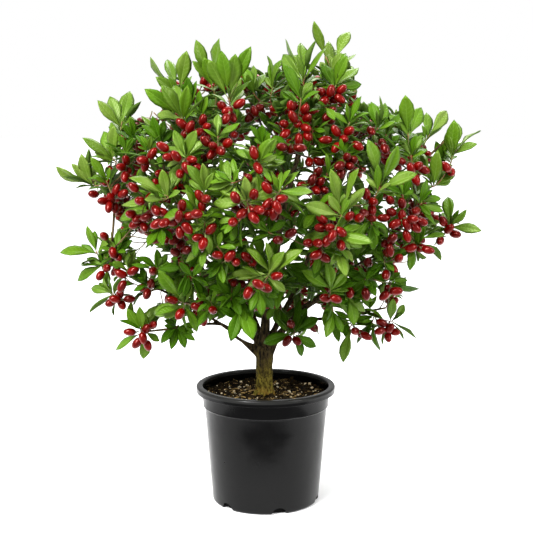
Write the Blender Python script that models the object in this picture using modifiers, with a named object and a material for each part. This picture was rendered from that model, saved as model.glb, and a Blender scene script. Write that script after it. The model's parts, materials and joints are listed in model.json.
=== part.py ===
"""Potted miracle fruit: a nursery pot full of soil, a short forked trunk, boughs and masses of foliage.

Metres, +Z up. The origin is the centre of the pot's flat underside, and -Y is the front.
Every mass of foliage has one bough. Its twigs, leaves and fruit are one solid that keeps to its own space.
"""

import math
import random
from collections import namedtuple

import bmesh
import bpy
from mathutils import Matrix, Vector
from mathutils.bvhtree import BVHTree
from mathutils.geometry import interpolate_bezier

GAP = 0.0003  # between pieces that rest on or grow out of each other

# Pot
POT_HEIGHT = 0.2154
RIM_RADIUS = 0.127
BASE_RADIUS = 0.0976
BAND_TOP_RADIUS = 0.1168
BAND_FOOT_RADIUS = 0.1140
BODY_TOP_RADIUS = 0.1117
BAND_FOOT_HEIGHT = 0.178
WALL = 0.002
FLOOR = 0.003
LIP_DROP = 0.012
LIP_ROUND = 0.003
BASE_ROUND = 0.004
POT_STEPS = 28

# Drain notches in the foot of the wall
NOTCH_COUNT = 6
NOTCH_FIRST_ANGLE = math.radians(-45.5)
NOTCH_WIDTH = 0.028
NOTCH_HEIGHT = 0.009
NOTCH_DEPTH = 0.012

# Soil
SOIL_HEIGHT = 0.198
SOIL_DIP = 0.004
SOIL_FLAT_RADIUS = 0.034

# Trunk
TRUNK_FOOT = Vector((-0.0025, 0.0, SOIL_HEIGHT + GAP))
FORK = Vector((-0.0020, 0.0, 0.284))
TRUNK_RADIUS = 0.0155
FLARE_RADIUS = 0.0215
FLARE_HEIGHT = 0.020
TRUNK_SIDES = 12

# Boughs
BOUGH_TIP_RADIUS = 0.0022
BRANCH_SHARE = 0.62
THICK_LIMB = 0.0045
LIMB_SPACING = 0.065
ENTRY = 0.52
STRAIGHT_END = 0.008

# Foliage
LEAF_LENGTH = 0.078
LEAF_WIDTH = 0.033
LEAF_THICKNESS = 0.0014
LEAF_WIDEST = 0.60
LEAF_ROOT = (0.40, -0.50)  # the top and underside of its root, in leaf thicknesses
LEAF_FIRST = 0.0042
LEAF_STEP = 0.0030
TRIES = 5
LEAF_OFFSET = 17  # degrees from the middle of a twig's side
LEAVES_PER_SHOOT = 5
FRUIT_LENGTH = 0.024
FRUIT_WIDTH = 0.0155
FRUIT_SHARE = 0.52
FRUIT_EVERY = 3
STEM_SIDES = 5
STEM_PAST_CENTRE = 0.10
TWIG_SIDES = 3
TWIG_RADIUS = 0.0022
TWIG_TIP_RADIUS = 0.0019
TWIG_SHARES = (0.35, 0.92)
LAST_TWIG_SHARE = 0.96
SHORTEST_TWIG = 0.022
SHOOT_SHARE = 0.72
INWARD_LIMIT = -0.35
GOLDEN_ANGLE = math.radians(137.508)
WALL_CLEARANCE = 0.0012
LIMB_CLEARANCE = 0.0010
HEART = Vector((0.0, 0.0, 0.50))
SEED = 11

# A mass: the centre and reach of its space, the number of its shoots, the limb that its bough starts on, and
# how far along that limb
Mass = namedtuple("Mass", "name centre reach shoots limb along")
MASSES = [
    Mass("top_peak", (0.112, 0.000, 0.758), 0.086, 5, "trunk", 0.98),
    Mass("top_left", (-0.138, 0.000, 0.738), 0.090, 5, "trunk", 0.86),
    Mass("right_upper", (0.225, 0.040, 0.665), 0.088, 5, "trunk", 0.74),
    Mass("low_left", (-0.208, -0.060, 0.325), 0.080, 4, "trunk", 0.78),
    Mass("back_left_upper", (-0.140, 0.190, 0.650), 0.100, 5, "trunk", 0.86),
    Mass("back_right_upper", (0.180, 0.200, 0.645), 0.100, 5, "trunk", 0.84),
    Mass("top_centre", (-0.045, -0.035, 0.765), 0.085, 5, "top_peak", 0.62),
    Mass("top_back", (0.030, 0.150, 0.735), 0.095, 4, "top_peak", 0.52),
    Mass("top_front", (0.060, -0.130, 0.680), 0.090, 5, "top_peak", 0.58),
    Mass("front_centre", (-0.030, -0.250, 0.580), 0.095, 5, "top_peak", 0.22),
    Mass("front_low", (-0.020, -0.180, 0.430), 0.088, 5, "front_centre", 0.30),
    Mass("front_right", (0.115, -0.220, 0.565), 0.098, 5, "top_peak", 0.34),
    Mass("right_far", (0.312, -0.020, 0.655), 0.076, 4, "right_upper", 0.70),
    Mass("right_mid", (0.266, -0.110, 0.518), 0.095, 5, "right_upper", 0.46),
    Mass("right_back", (0.270, 0.125, 0.505), 0.098, 4, "right_upper", 0.56),
    Mass("inner_right", (0.135, -0.120, 0.430), 0.080, 3, "right_upper", 0.20),
    Mass("low_right", (0.205, -0.040, 0.362), 0.085, 4, "right_upper", 0.16),
    Mass("low_centre", (0.072, -0.080, 0.345), 0.062, 3, "low_right", 0.25),
    Mass("left_upper", (-0.242, 0.020, 0.682), 0.085, 5, "top_left", 0.55),
    Mass("left_far", (-0.296, -0.040, 0.590), 0.076, 4, "left_upper", 0.45),
    Mass("front_left", (-0.160, -0.170, 0.580), 0.100, 5, "top_left", 0.34),
    Mass("inner_left", (-0.130, -0.100, 0.410), 0.082, 4, "front_left", 0.30),
    Mass("left_low", (-0.276, -0.045, 0.450), 0.085, 4, "low_left", 0.42),
    Mass("left_back", (-0.250, 0.130, 0.510), 0.100, 5, "back_left_upper", 0.36),
    Mass("back_centre", (-0.005, 0.280, 0.570), 0.092, 5, "back_left_upper", 0.50),
    Mass("back_left", (-0.130, 0.230, 0.420), 0.095, 4, "back_left_upper", 0.24),
    Mass("back_right", (0.130, 0.240, 0.455), 0.100, 5, "back_right_upper", 0.30),
    Mass("back_low", (0.050, 0.130, 0.350), 0.085, 3, "back_right_upper", 0.14),
]

# The first limbs, which leave the trunk: their radius, and the points they run by
FIRST_LIMBS = {
    "top_peak": (0.0080, [(0.005, 0.000, 0.371), (0.044, 0.000, 0.579)]),
    "top_left": (0.0050, [(-0.035, 0.004, 0.343)]),
    "right_upper": (0.0066, [(0.063, 0.000, 0.349), (0.131, 0.000, 0.415)]),
    "low_left": (0.0034, [(-0.055, -0.006, 0.307), (-0.086, -0.012, 0.330)]),
    "back_left_upper": (0.0060, [(-0.032, 0.050, 0.355)]),
    "back_right_upper": (0.0060, [(0.040, 0.055, 0.350)]),
}

# Material: base colour, roughness, metallic
PLASTIC = ("black_plastic", (0.035, 0.035, 0.036), 0.42, 0.0)
EARTH = ("potting_soil", (0.045, 0.028, 0.018), 0.95, 0.0)
BARK = ("bark", (0.135, 0.105, 0.060), 0.85, 0.0)
LEAF = ("leaf", (0.060, 0.190, 0.030), 0.35, 0.0)


# Scene helpers


def clear_scene():
    for obj in list(bpy.data.objects):
        bpy.data.objects.remove(obj)


def new_collection(name):
    collection = bpy.data.collections.new(name)
    bpy.context.scene.collection.children.link(collection)
    return collection


def material(name, colour, roughness, metallic):
    made = bpy.data.materials.get(name)
    if made is None:
        made = bpy.data.materials.new(name)
        made.use_nodes = True
        shader = made.node_tree.nodes["Principled BSDF"]
        shader.inputs["Base Color"].default_value = (*colour, 1.0)
        shader.inputs["Roughness"].default_value = roughness
        shader.inputs["Metallic"].default_value = metallic
    return made


def add_object(name, data, collection, look=None):
    obj = bpy.data.objects.new(name, data)
    collection.objects.link(obj)
    if look is not None:
        data.materials.clear()
        data.materials.append(material(*look))
    return obj


def evaluated_mesh(obj):
    depsgraph = bpy.context.evaluated_depsgraph_get()
    return bpy.data.meshes.new_from_object(obj.evaluated_get(depsgraph))


def remove_all(objects):
    for obj in list(objects):
        bpy.data.objects.remove(obj)


def surface_of(mesh, matrix=None):
    """A search tree over a mesh's faces, moved by the matrix if there is one."""
    place = matrix or Matrix()
    points = [place @ vertex.co for vertex in mesh.vertices]
    return BVHTree.FromPolygons(points, [tuple(face.vertices) for face in mesh.polygons])


# Bodies of a mesh


def islands(bm):
    """The groups of faces that hang together."""
    left = set(bm.faces)
    while left:
        group = set()
        front = [left.pop()]
        while front:
            face = front.pop()
            group.add(face)
            near = {other for edge in face.edges for other in edge.link_faces} & left
            left -= near
            front.extend(near)
        yield group


def volume_of(faces):
    total = 0.0
    for face in faces:
        corners = [v.co for v in face.verts]
        for second, third in zip(corners[1:], corners[2:]):
            total += corners[0].dot(second.cross(third)) / 6
    return total


def keep_one_body(mesh, holds=None):
    """Keeps the body nearest to the point that it has to hold, or else the largest. Scraps and hollows go."""
    bm = bmesh.new()
    bm.from_mesh(mesh)
    groups = list(islands(bm))
    if holds is None:
        kept = max(groups, key=volume_of)
    else:
        kept = min(groups, key=lambda group: min((v.co - holds).length for face in group for v in face.verts))
    dropped = [face for group in groups if group is not kept for face in group]
    bmesh.ops.delete(bm, geom=dropped, context="FACES")
    bm.to_mesh(mesh)
    bm.free()


# Turned pieces


def turned(name, profile, steps, collection, look):
    """A turned solid from a profile that starts and ends on the axis and runs down its outer side."""
    mesh = bpy.data.meshes.new(name)
    edges = [(i, i + 1) for i in range(len(profile) - 1)]
    mesh.from_pydata([(radius, 0.0, height) for radius, height in profile], edges, [])
    obj = add_object(name, mesh, collection, look)
    screw = obj.modifiers.new("turn", "SCREW")
    screw.steps = steps
    screw.render_steps = steps
    screw.use_merge_vertices = True
    screw.merge_threshold = 0.0001
    return obj


def arc(centre, radius, start, end, points):
    """Points of an arc in a profile, its angles in degrees from outwards to upwards."""
    angles = [math.radians(start + (end - start) * i / (points - 1)) for i in range(points)]
    return [(centre[0] + radius * math.cos(a), centre[1] + radius * math.sin(a)) for a in angles]


def inner_wall():
    """The profile of the pot's inner face, floor to mouth, with the ledge behind the band's foot."""
    return [
        (BASE_RADIUS - WALL, FLOOR),
        (BODY_TOP_RADIUS - WALL, BAND_FOOT_HEIGHT),
        (BAND_FOOT_RADIUS - WALL, BAND_FOOT_HEIGHT + WALL),
        (BAND_TOP_RADIUS - WALL, POT_HEIGHT),
    ]


def pot_profile():
    lip_foot = POT_HEIGHT - LIP_DROP
    lip = arc((RIM_RADIUS - LIP_ROUND, POT_HEIGHT - LIP_ROUND), LIP_ROUND, 90, 0, 3)
    lip += [(RIM_RADIUS, lip_foot), (RIM_RADIUS - WALL, lip_foot), (RIM_RADIUS - WALL, POT_HEIGHT - WALL)]
    band = [
        (BAND_TOP_RADIUS, POT_HEIGHT - WALL),
        (BAND_FOOT_RADIUS, BAND_FOOT_HEIGHT),
        (BODY_TOP_RADIUS, BAND_FOOT_HEIGHT - WALL),
    ]
    foot = arc((BASE_RADIUS - BASE_ROUND, BASE_ROUND), BASE_ROUND, 0, -90, 2)
    return [(0.0, FLOOR)] + inner_wall() + lip + band + foot + [(0.0, 0.0)]


def make_pot(collection, cutters):
    pot = turned("pot", pot_profile(), POT_STEPS, collection, PLASTIC)
    radius = (NOTCH_WIDTH**2 / 4 + NOTCH_HEIGHT**2) / (2 * NOTCH_HEIGHT)
    for i in range(NOTCH_COUNT):
        angle = NOTCH_FIRST_ANGLE + i * math.tau / NOTCH_COUNT - math.pi / 2
        outwards = Vector((math.cos(angle), math.sin(angle), 0.0))
        mesh = bpy.data.meshes.new(f"notch_{i + 1}")
        bm = bmesh.new()
        bmesh.ops.create_cone(
            bm, cap_ends=True, segments=10, radius1=radius, radius2=radius, depth=2 * NOTCH_DEPTH
        )
        bm.to_mesh(mesh)
        bm.free()
        cutter = add_object(f"notch_{i + 1}", mesh, cutters)
        cutter.rotation_euler = outwards.to_track_quat("Z", "Y").to_euler()
        cutter.location = outwards * BASE_RADIUS + Vector((0.0, 0.0, NOTCH_HEIGHT - radius))
        cutter.display_type = "WIRE"
        cutter.hide_render = True
        cut = pot.modifiers.new(f"notch_{i + 1}", "BOOLEAN")
        cut.operation = "DIFFERENCE"
        cut.object = cutter
    return pot


def make_soil(collection):
    """The soil fills the pot to below its lip, a gap clear of the wall, and lies level round the trunk."""
    wall = [(radius - GAP, height + GAP) for radius, height in inner_wall()]
    (ledge, above), (mouth, top) = wall[-2:]
    edge = SOIL_HEIGHT - SOIL_DIP
    wall[-1] = (ledge + (mouth - ledge) * (edge - above) / (top - above), edge)
    profile = [(0.0, SOIL_HEIGHT), (SOIL_FLAT_RADIUS, SOIL_HEIGHT)] + wall[::-1] + [(0.0, FLOOR + GAP)]
    return turned("soil", profile, POT_STEPS, collection, EARTH)


# Limbs and twigs


Limb = namedtuple("Limb", "name path radii sides")


def smooth_path(points, start_direction, end_direction, spacing):
    """A smooth curve through the points, with a point about every spacing."""
    lengths = [(b - a).length for a, b in zip(points, points[1:])]
    tangents = [start_direction * lengths[0]]
    tangents += [(after - before) / 2 for before, after in zip(points, points[2:])]
    tangents.append(end_direction * lengths[-1])
    path = []
    for i, length in enumerate(lengths):
        count = max(2, round(length / spacing))
        first, last = points[i], points[i + 1]
        span = interpolate_bezier(first, first + tangents[i] / 3, last - tangents[i + 1] / 3, last, count + 1)
        path += span[:-1]
    return path + [points[-1]]


def taper(start, end, count):
    return [start + (end - start) * i / (count - 1) for i in range(count)]


def point_along(limb, share):
    """The point, direction and radius at a share of a limb's length."""
    place = share * (len(limb.path) - 1)
    i = min(int(place), len(limb.path) - 2)
    rest = place - i
    first, last = limb.path[i], limb.path[i + 1]
    radius = limb.radii[i] + (limb.radii[i + 1] - limb.radii[i]) * rest
    return first.lerp(last, rest), (last - first).normalized(), radius


def section(sides, helpers):
    """The outline that a tube is swept from: a regular polygon with its corners one unit out."""
    name = f"section_{sides}"
    made = bpy.data.objects.get(name)
    if made is None:
        curve = bpy.data.curves.new(name, "CURVE")
        spline = curve.splines.new("POLY")
        spline.points.add(sides - 1)
        spline.use_cyclic_u = True
        for i, point in enumerate(spline.points):
            angle = i * math.tau / sides
            point.co = (math.cos(angle), math.sin(angle), 0.0, 1.0)
        made = add_object(name, curve, helpers)
        made.hide_render = True
    return made


def tube_mesh(limb, helpers):
    """The closed tapering tube of a limb."""
    curve = bpy.data.curves.new(limb.name, "CURVE")
    curve.dimensions = "3D"
    curve.bevel_mode = "OBJECT"
    curve.bevel_object = section(limb.sides, helpers)
    curve.use_fill_caps = True
    spline = curve.splines.new("POLY")
    spline.points.add(len(limb.path) - 1)
    for point, place, radius in zip(spline.points, limb.path, limb.radii):
        point.co = (*place, 1.0)
        point.radius = radius
    guide = add_object(limb.name, curve, helpers)
    mesh = evaluated_mesh(guide)
    bpy.data.objects.remove(guide)
    bpy.data.curves.remove(curve)
    bm = bmesh.new()
    bm.from_mesh(mesh)
    bmesh.ops.remove_doubles(bm, verts=bm.verts, dist=1e-6)
    bmesh.ops.recalc_face_normals(bm, faces=bm.faces)
    bm.to_mesh(mesh)
    bm.free()
    return mesh


def fatter(limb, extra, helpers):
    """The limb's tube with its surface and its ends moved out."""
    start = limb.path[0] + (limb.path[0] - limb.path[1]).normalized() * extra
    end = limb.path[-1] + (limb.path[-1] - limb.path[-2]).normalized() * extra
    path = [start] + limb.path[1:-1] + [end]
    # The corners of a polygon stand further out than its sides
    out = extra / math.cos(math.pi / limb.sides)
    radii = [radius + out for radius in limb.radii]
    return tube_mesh(Limb(f"fat_{limb.name}", path, radii, limb.sides), helpers)


def trunk_limb():
    """The trunk: a root flare, a straight stretch and the rounded shoulder that its limbs leave."""
    heights = [0.0, 0.25 * FLARE_HEIGHT, 0.6 * FLARE_HEIGHT, 1.4 * FLARE_HEIGHT]
    radii = [FLARE_RADIUS, 0.85 * FLARE_RADIUS, 0.77 * FLARE_RADIUS, 0.98 * TRUNK_RADIUS]
    rise = (FORK - TRUNK_FOOT).z
    heights += [0.60 * rise, 0.80 * rise, 0.93 * rise, rise]
    radii += [TRUNK_RADIUS, 1.04 * TRUNK_RADIUS, 0.95 * TRUNK_RADIUS, 0.66 * TRUNK_RADIUS]
    path = [TRUNK_FOOT.lerp(FORK, height / rise) for height in heights]
    return Limb("trunk", path, radii, TRUNK_SIDES)


def bough_limb(mass, limbs):
    """The bough of a mass, from the axis of the limb that carries it to where it enters the mass."""
    start, along, parent_radius = point_along(limbs[mass.limb], mass.along)
    branch_radius = max(parent_radius * BRANCH_SHARE, BOUGH_TIP_RADIUS * 1.25)
    radius, route = FIRST_LIMBS.get(mass.name, (branch_radius, []))
    centre = Vector(mass.centre)
    via = [Vector(point) for point in route]
    approach = (centre - (via[-1] if via else start)).normalized()
    entry = centre - approach * mass.reach * ENTRY
    first = (via[0] if via else entry) - start
    leaving = (first.normalized() + along * 0.45).normalized()
    path = smooth_path([start] + via + [entry - approach * STRAIGHT_END], leaving, approach, LIMB_SPACING)
    path.append(entry)
    sides = 6 if radius > THICK_LIMB else 5
    return Limb(f"bough_{mass.name}", path, taper(radius, BOUGH_TIP_RADIUS, len(path)), sides)


def make_limbs(collection, helpers):
    """The trunk and a bough for each mass, each cut clear of the limbs made before it."""
    limbs = {"trunk": trunk_limb()}
    for mass in MASSES:
        limbs[mass.name] = bough_limb(mass, limbs)
    made = []
    for limb in limbs.values():
        mesh = tube_mesh(limb, helpers)
        surface = surface_of(mesh)
        touched = []
        for other in made:
            fat = fatter(other, GAP, helpers)
            if surface.overlap(surface_of(fat)):
                touched.append(add_object(fat.name, fat, helpers))
        obj = add_object(limb.name, mesh, collection, BARK)
        for fat in touched:
            fat.hide_render = True
            cut = obj.modifiers.new(fat.name, "BOOLEAN")
            cut.operation = "DIFFERENCE"
            cut.object = fat
        if touched:
            obj.data = evaluated_mesh(obj)
            obj.modifiers.clear()
            keep_one_body(obj.data, limb.path[-1])
            remove_all(touched)
        made.append(limb)
    return limbs


# Masses of foliage


def template(name, bm):
    mesh = bpy.data.meshes.new(name)
    bm.to_mesh(mesh)
    bm.free()
    return mesh


def leaf_template():
    """A leaf one unit long and wide, its root a short upright edge at the origin and its tip on +Z. It is
    widest past its middle, with a ridge on its upper side, +Y."""
    bm = bmesh.new()
    bmesh.ops.create_uvsphere(bm, u_segments=4, v_segments=2, radius=0.5)
    for vertex in bm.verts:
        if vertex.co.z > 0.25:
            vertex.co = (0.0, 0.0, 1.0)
        elif vertex.co.z < -0.25:
            vertex.co = (0.0, LEAF_ROOT[0], 0.0)
        elif vertex.co.y < -0.25:
            vertex.co = (0.0, LEAF_ROOT[1], 0.0)
        else:
            vertex.co.z = LEAF_WIDEST
    return template("leaf_template", bm)


def fruit_template():
    """A fruit one unit long and wide, its stalk end at the origin."""
    bm = bmesh.new()
    bmesh.ops.create_icosphere(bm, subdivisions=1, radius=0.5, matrix=Matrix.Translation((0.0, 0.0, 0.5)))
    return template("fruit_template", bm)


def stick_template(name, sides, tip_share):
    """A straight tapering stick one unit long and thick at its foot, with a flat side towards +Y."""
    bm = bmesh.new()
    up = Matrix.Translation((0.0, 0.0, 0.5)) @ Matrix.Rotation(math.pi, 4, "Z")
    bmesh.ops.create_cone(
        bm, cap_ends=True, segments=sides, radius1=1.0, radius2=tip_share, depth=1.0, matrix=up
    )
    return template(name, bm)


def facing(base, direction, upper, scale):
    """The matrix that puts a template at a base, along a direction, its +Y side towards upper."""
    depth = (upper - direction * upper.dot(direction)).normalized()
    across = depth.cross(direction)
    turn = Matrix((across, depth, direction)).transposed().to_4x4()
    return Matrix.Translation(base) @ turn @ Matrix.Diagonal((*scale, 1.0))


class Space:
    """The space that one mass keeps to, with all that has been put in it."""

    def __init__(self, mass, limb_surfaces, collection):
        self.centre = Vector(mass.centre)
        self.walls = []
        for other in MASSES:
            if other is not mass:
                apart = Vector(other.centre) - self.centre
                share = (apart.length_squared + mass.reach**2 - other.reach**2) / (2 * apart.length)
                self.walls.append((apart.normalized(), share - WALL_CLEARANCE))
        self.taken = list(limb_surfaces)
        self.collection = collection

    def add(self, name, mesh, place, keep_off=True):
        """Adds a piece if it stays in the space and touches nothing there, and says whether it did."""
        points = [place @ vertex.co for vertex in mesh.vertices]
        if any((point - self.centre).dot(out) > share for point in points for out, share in self.walls):
            return False
        surface = surface_of(mesh, place)
        if any(surface.overlap(other) for other in self.taken):
            return False
        if keep_off:
            self.taken.append(surface)
        add_object(name, mesh, self.collection).matrix_world = place
        return True


def shoot_directions(mass, rng):
    """Directions to try for the shoots of a mass. The way out of the crown comes first, then the furthest
    from those before it, out of an even spread that leaves out the side towards the heart of the crown."""
    outwards = (Vector(mass.centre) - HEART).normalized()
    count = 4 * mass.shoots
    turn = rng.uniform(0, math.tau)
    spread = []
    for i in range(count):
        height = 1 - 2 * (i + 0.5) / count
        angle = i * GOLDEN_ANGLE + turn
        flat = math.sqrt(1 - height * height)
        direction = Vector((flat * math.cos(angle), flat * math.sin(angle), height))
        if direction.dot(outwards) > INWARD_LIMIT:
            spread.append(direction)
    chosen = [outwards]
    while spread:
        best = max(spread, key=lambda direction: min((direction - other).length for other in chosen))
        chosen.append(best)
        spread.remove(best)
    return chosen


def twig_side(heading):
    """The direction that one flat side of a twig faces."""
    up = Vector((0.0, 0.0, 1.0))
    return (up - heading * up.dot(heading)).normalized()


def grow_leaves(base, tip, leaf, space, rng):
    """A rosette of leaves round the end of a twig, at most two to each of its sides. Those furthest back
    spread the most, and one that finds no room after a few tries is skipped."""
    heading = (tip - base).normalized()
    side = twig_side(heading)
    for i in range(LEAVES_PER_SHOOT):
        for attempt in range(TRIES):
            turn = 120 * i + (2 * (i // 3) - 1) * LEAF_OFFSET + rng.uniform(-3, 3)
            lean = math.radians(rng.uniform(36, 46) + 8 * i + 3 * attempt)
            size = rng.uniform(0.86, 1.10)
            out = Matrix.Rotation(math.radians(turn), 3, heading) @ side
            along = heading * math.cos(lean) + out * math.sin(lean)
            root = tip - heading * (LEAF_FIRST + LEAF_STEP * i)
            scale = (LEAF_WIDTH * size, LEAF_THICKNESS, LEAF_LENGTH * size)
            if space.add("leaf", leaf, facing(root, along, heading, scale)):
                break


def grow_fruit(base, tip, fruit, space, rng):
    """A fruit on one side of a twig, below its leaves."""
    heading = (tip - base).normalized()
    root = base.lerp(tip, FRUIT_SHARE)
    for attempt in range(TRIES):
        turn = math.radians(120 * attempt + rng.uniform(-10, 10))
        out = Matrix.Rotation(turn, 3, heading) @ twig_side(heading)
        along = (out + heading * 0.35).normalized()
        if space.add("fruit", fruit, facing(root, along, heading, (FRUIT_WIDTH, FRUIT_WIDTH, FRUIT_LENGTH))):
            break


def grow_twigs(mass, space, stem_foot, stem_run, twig, rng):
    """Twigs from the stem of a mass, the first from its end, to shoot tips near the outside of the mass."""
    twigs = []
    for direction in shoot_directions(mass, rng):
        share = rng.uniform(*TWIG_SHARES) if twigs else LAST_TWIG_SHARE
        base = stem_foot + stem_run * share
        tip = space.centre + direction * (mass.reach - SHOOT_SHARE * LEAF_LENGTH)
        if (tip - base).length < SHORTEST_TWIG:
            tip = base + (tip - base + direction * SHORTEST_TWIG).normalized() * SHORTEST_TWIG
        along = (tip - base).normalized()
        place = facing(base, along, twig_side(along), (TWIG_RADIUS, TWIG_RADIUS, (tip - base).length))
        if len(twigs) < mass.shoots and space.add("twig", twig, place, keep_off=False):
            twigs.append((base, tip))
    return twigs


def grow_mass(mass, bough, limb_surfaces, templates, collection):
    """One mass: a stem from its bough's tip past its centre, with twigs, leaves and fruit, in one solid."""
    rng = random.Random(SEED + MASSES.index(mass))
    parts = new_collection(f"parts_{mass.name}")
    space = Space(mass, limb_surfaces, parts)
    heading = (bough.path[-1] - bough.path[-2]).normalized()
    foot = bough.path[-1] + heading * GAP
    run = heading * ((space.centre - foot).length + STEM_PAST_CENTRE * mass.reach)
    foliage = add_object(f"foliage_{mass.name}", templates["stem"].copy(), collection, LEAF)
    scale = (BOUGH_TIP_RADIUS, BOUGH_TIP_RADIUS, run.length)
    foliage.data.transform(facing(foot, heading, heading.orthogonal(), scale))
    twigs = grow_twigs(mass, space, foot, run, templates["twig"], rng)
    for base, tip in twigs:
        grow_leaves(base, tip, templates["leaf"], space, rng)
    for base, tip in twigs[::FRUIT_EVERY]:
        grow_fruit(base, tip, templates["fruit"], space, rng)
    union = foliage.modifiers.new("join", "BOOLEAN")
    union.operation = "UNION"
    union.operand_type = "COLLECTION"
    union.collection = parts
    foliage.data = evaluated_mesh(foliage)
    foliage.modifiers.clear()
    keep_one_body(foliage.data)
    remove_all(parts.objects)
    bpy.data.collections.remove(parts)


def main():
    clear_scene()
    plant = new_collection("potted_miracle_fruit")
    cutters = new_collection("cutters")
    helpers = new_collection("helpers")
    make_pot(plant, cutters)
    make_soil(plant)
    limbs = make_limbs(plant, helpers)
    limb_surfaces = [surface_of(fatter(limb, LIMB_CLEARANCE, helpers)) for limb in limbs.values()]
    templates = {
        "stem": stick_template("stem_template", STEM_SIDES, TWIG_RADIUS / BOUGH_TIP_RADIUS),
        "twig": stick_template("twig_template", TWIG_SIDES, TWIG_TIP_RADIUS / TWIG_RADIUS),
        "leaf": leaf_template(),
        "fruit": fruit_template(),
    }
    for mass in MASSES:
        grow_mass(mass, limbs[mass.name], limb_surfaces, templates, plant)
    remove_all(helpers.objects)


main()
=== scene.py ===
"""Looks of the potted miracle fruit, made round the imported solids.

Metres, +Z up. The origin is the centre of the pot's flat underside, and -Y is the front.
The boughs follow the rule of the solids. On them grow first the shoots that the photograph shows, then the
shoots of the solids' rule with its seeds, and then finer ones where room is left. Each has its rosette of
leaves, and many have a cluster of berries.
"""

import itertools
import json
import math
import random
from collections import namedtuple

import bmesh
import bpy
import numpy as np
from mathutils import Matrix, Vector, noise
from mathutils.geometry import interpolate_bezier
from mathutils.kdtree import KDTree

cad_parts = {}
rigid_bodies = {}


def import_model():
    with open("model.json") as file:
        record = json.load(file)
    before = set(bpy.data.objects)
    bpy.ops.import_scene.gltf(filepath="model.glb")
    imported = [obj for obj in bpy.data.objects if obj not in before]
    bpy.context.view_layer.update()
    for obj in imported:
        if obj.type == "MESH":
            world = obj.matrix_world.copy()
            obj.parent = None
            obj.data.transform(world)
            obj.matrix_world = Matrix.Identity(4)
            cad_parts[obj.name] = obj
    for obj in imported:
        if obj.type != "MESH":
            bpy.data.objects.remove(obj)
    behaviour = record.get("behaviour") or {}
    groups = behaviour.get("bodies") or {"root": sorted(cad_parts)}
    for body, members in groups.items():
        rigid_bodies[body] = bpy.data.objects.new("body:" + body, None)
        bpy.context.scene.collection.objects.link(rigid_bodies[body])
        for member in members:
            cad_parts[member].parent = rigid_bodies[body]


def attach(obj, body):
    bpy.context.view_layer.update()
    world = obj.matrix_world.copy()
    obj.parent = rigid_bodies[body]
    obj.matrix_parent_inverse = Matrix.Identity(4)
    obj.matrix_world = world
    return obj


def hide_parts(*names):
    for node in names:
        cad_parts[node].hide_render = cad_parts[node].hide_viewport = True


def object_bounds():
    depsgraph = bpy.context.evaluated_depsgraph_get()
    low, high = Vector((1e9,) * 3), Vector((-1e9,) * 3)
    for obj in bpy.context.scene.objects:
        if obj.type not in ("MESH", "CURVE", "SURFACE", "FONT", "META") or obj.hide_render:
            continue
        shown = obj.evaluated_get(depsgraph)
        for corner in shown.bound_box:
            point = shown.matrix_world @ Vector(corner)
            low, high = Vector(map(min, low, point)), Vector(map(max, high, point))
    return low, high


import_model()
CAD_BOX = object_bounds()

# Camera, fitted to the photograph's 533 pixel frame
CAMERA_AT = Vector((0.0015, -2.0874, 0.7297))
CAMERA_PITCH = 0.1416
FOCAL_PIXELS = 1169.46
FRAME_PIXELS = 533
SENSOR = 36.0

# Light: the strength of what comes from all round, a broad key light, and softboxes with their place, size
# and watts
AROUND_LIGHT = 0.64
KEY_LIGHT = 3.1
KEY_ANGLE = math.radians(24)
KEY_DIRECTION = Vector((0.55, 0.85, -1.25))
LIGHTS_AIM = Vector((0.0, 0.0, 0.50))
SOFTBOXES = [
    ("left", (-1.2, -1.6, 1.6), (0.45, 1.5), 40.0),
    ("right", (1.7, -1.3, 1.4), (0.45, 1.5), 26.0),
    ("rim", (0.4, 1.2, 2.4), (1.4, 1.0), 40.0),
]

# The floor's front edge, and its faint glow, by which it shows no cast shadow
FLOOR_FRONT = -0.31
FLOOR_GLOW = 0.18

# Pot
POT_HEIGHT = 0.2154
RIM_RADIUS = 0.127
BASE_RADIUS = 0.0976
BAND_TOP_RADIUS = 0.1168
BAND_FOOT_RADIUS = 0.1140
BODY_TOP_RADIUS = 0.1117
BAND_FOOT_HEIGHT = 0.178
WALL = 0.002
FLOOR = 0.003
LIP_DROP = 0.012
LIP_ROUND = 0.0036
LIP_EDGE_ROUND = 0.0008
MOUTH_ROUND = 0.0024
BASE_ROUND = 0.006
INNER_CORNER = 0.004
POT_STEPS = 144
BODY_STEPS = 6
POT_SHARP_ANGLE = math.radians(38)
NOTCH_COUNT = 6
NOTCH_FIRST_ANGLE = math.radians(-45.5)
NOTCH_WIDTH = 0.027
NOTCH_HEIGHT = 0.0125
NOTCH_DEPTH = 0.012

# Soil: the height of the bed, how far its surface lies lower, its waves, the bank round the trunk with its
# reach, and the rise to the wall with the radius where it starts and its width
SOIL_HEIGHT = 0.198
SOIL_DROP = 0.0022
SOIL_SWELL = 0.0021
BANK_HEIGHT = 0.0022
BANK_REACH = 0.030
SOIL_RISE = 0.0025
RISE_START = 0.085
RISE_WIDTH = 0.030
SOIL_AROUND = 120
SOIL_RINGS = 56
# How far the bed's foot stays clear of the pot's corner inside
SOIL_FOOT_INSET = 0.005

# What is strewn on the soil: how many, from which to which length, width and thickness as shares of that
# length, and the share of the thickness by which each sinks in
Strewn = namedtuple("Strewn", "name count length width thickness sink")
STREWN = [
    Strewn("soil_crumbs", 1000, (0.0025, 0.0105), (0.6, 1.0), (0.5, 0.9), 0.25),
    Strewn("perlite", 120, (0.0028, 0.0070), (0.7, 1.0), (0.6, 0.9), 0.0),
    Strewn("bark_chips", 165, (0.0045, 0.0150), (0.25, 0.60), (0.12, 0.35), 0.0),
]
STREWN_RADIUS = 0.109
STREWN_FROM_TRUNK = 0.021
STREWN_FROM_WALL = 0.0006

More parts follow.
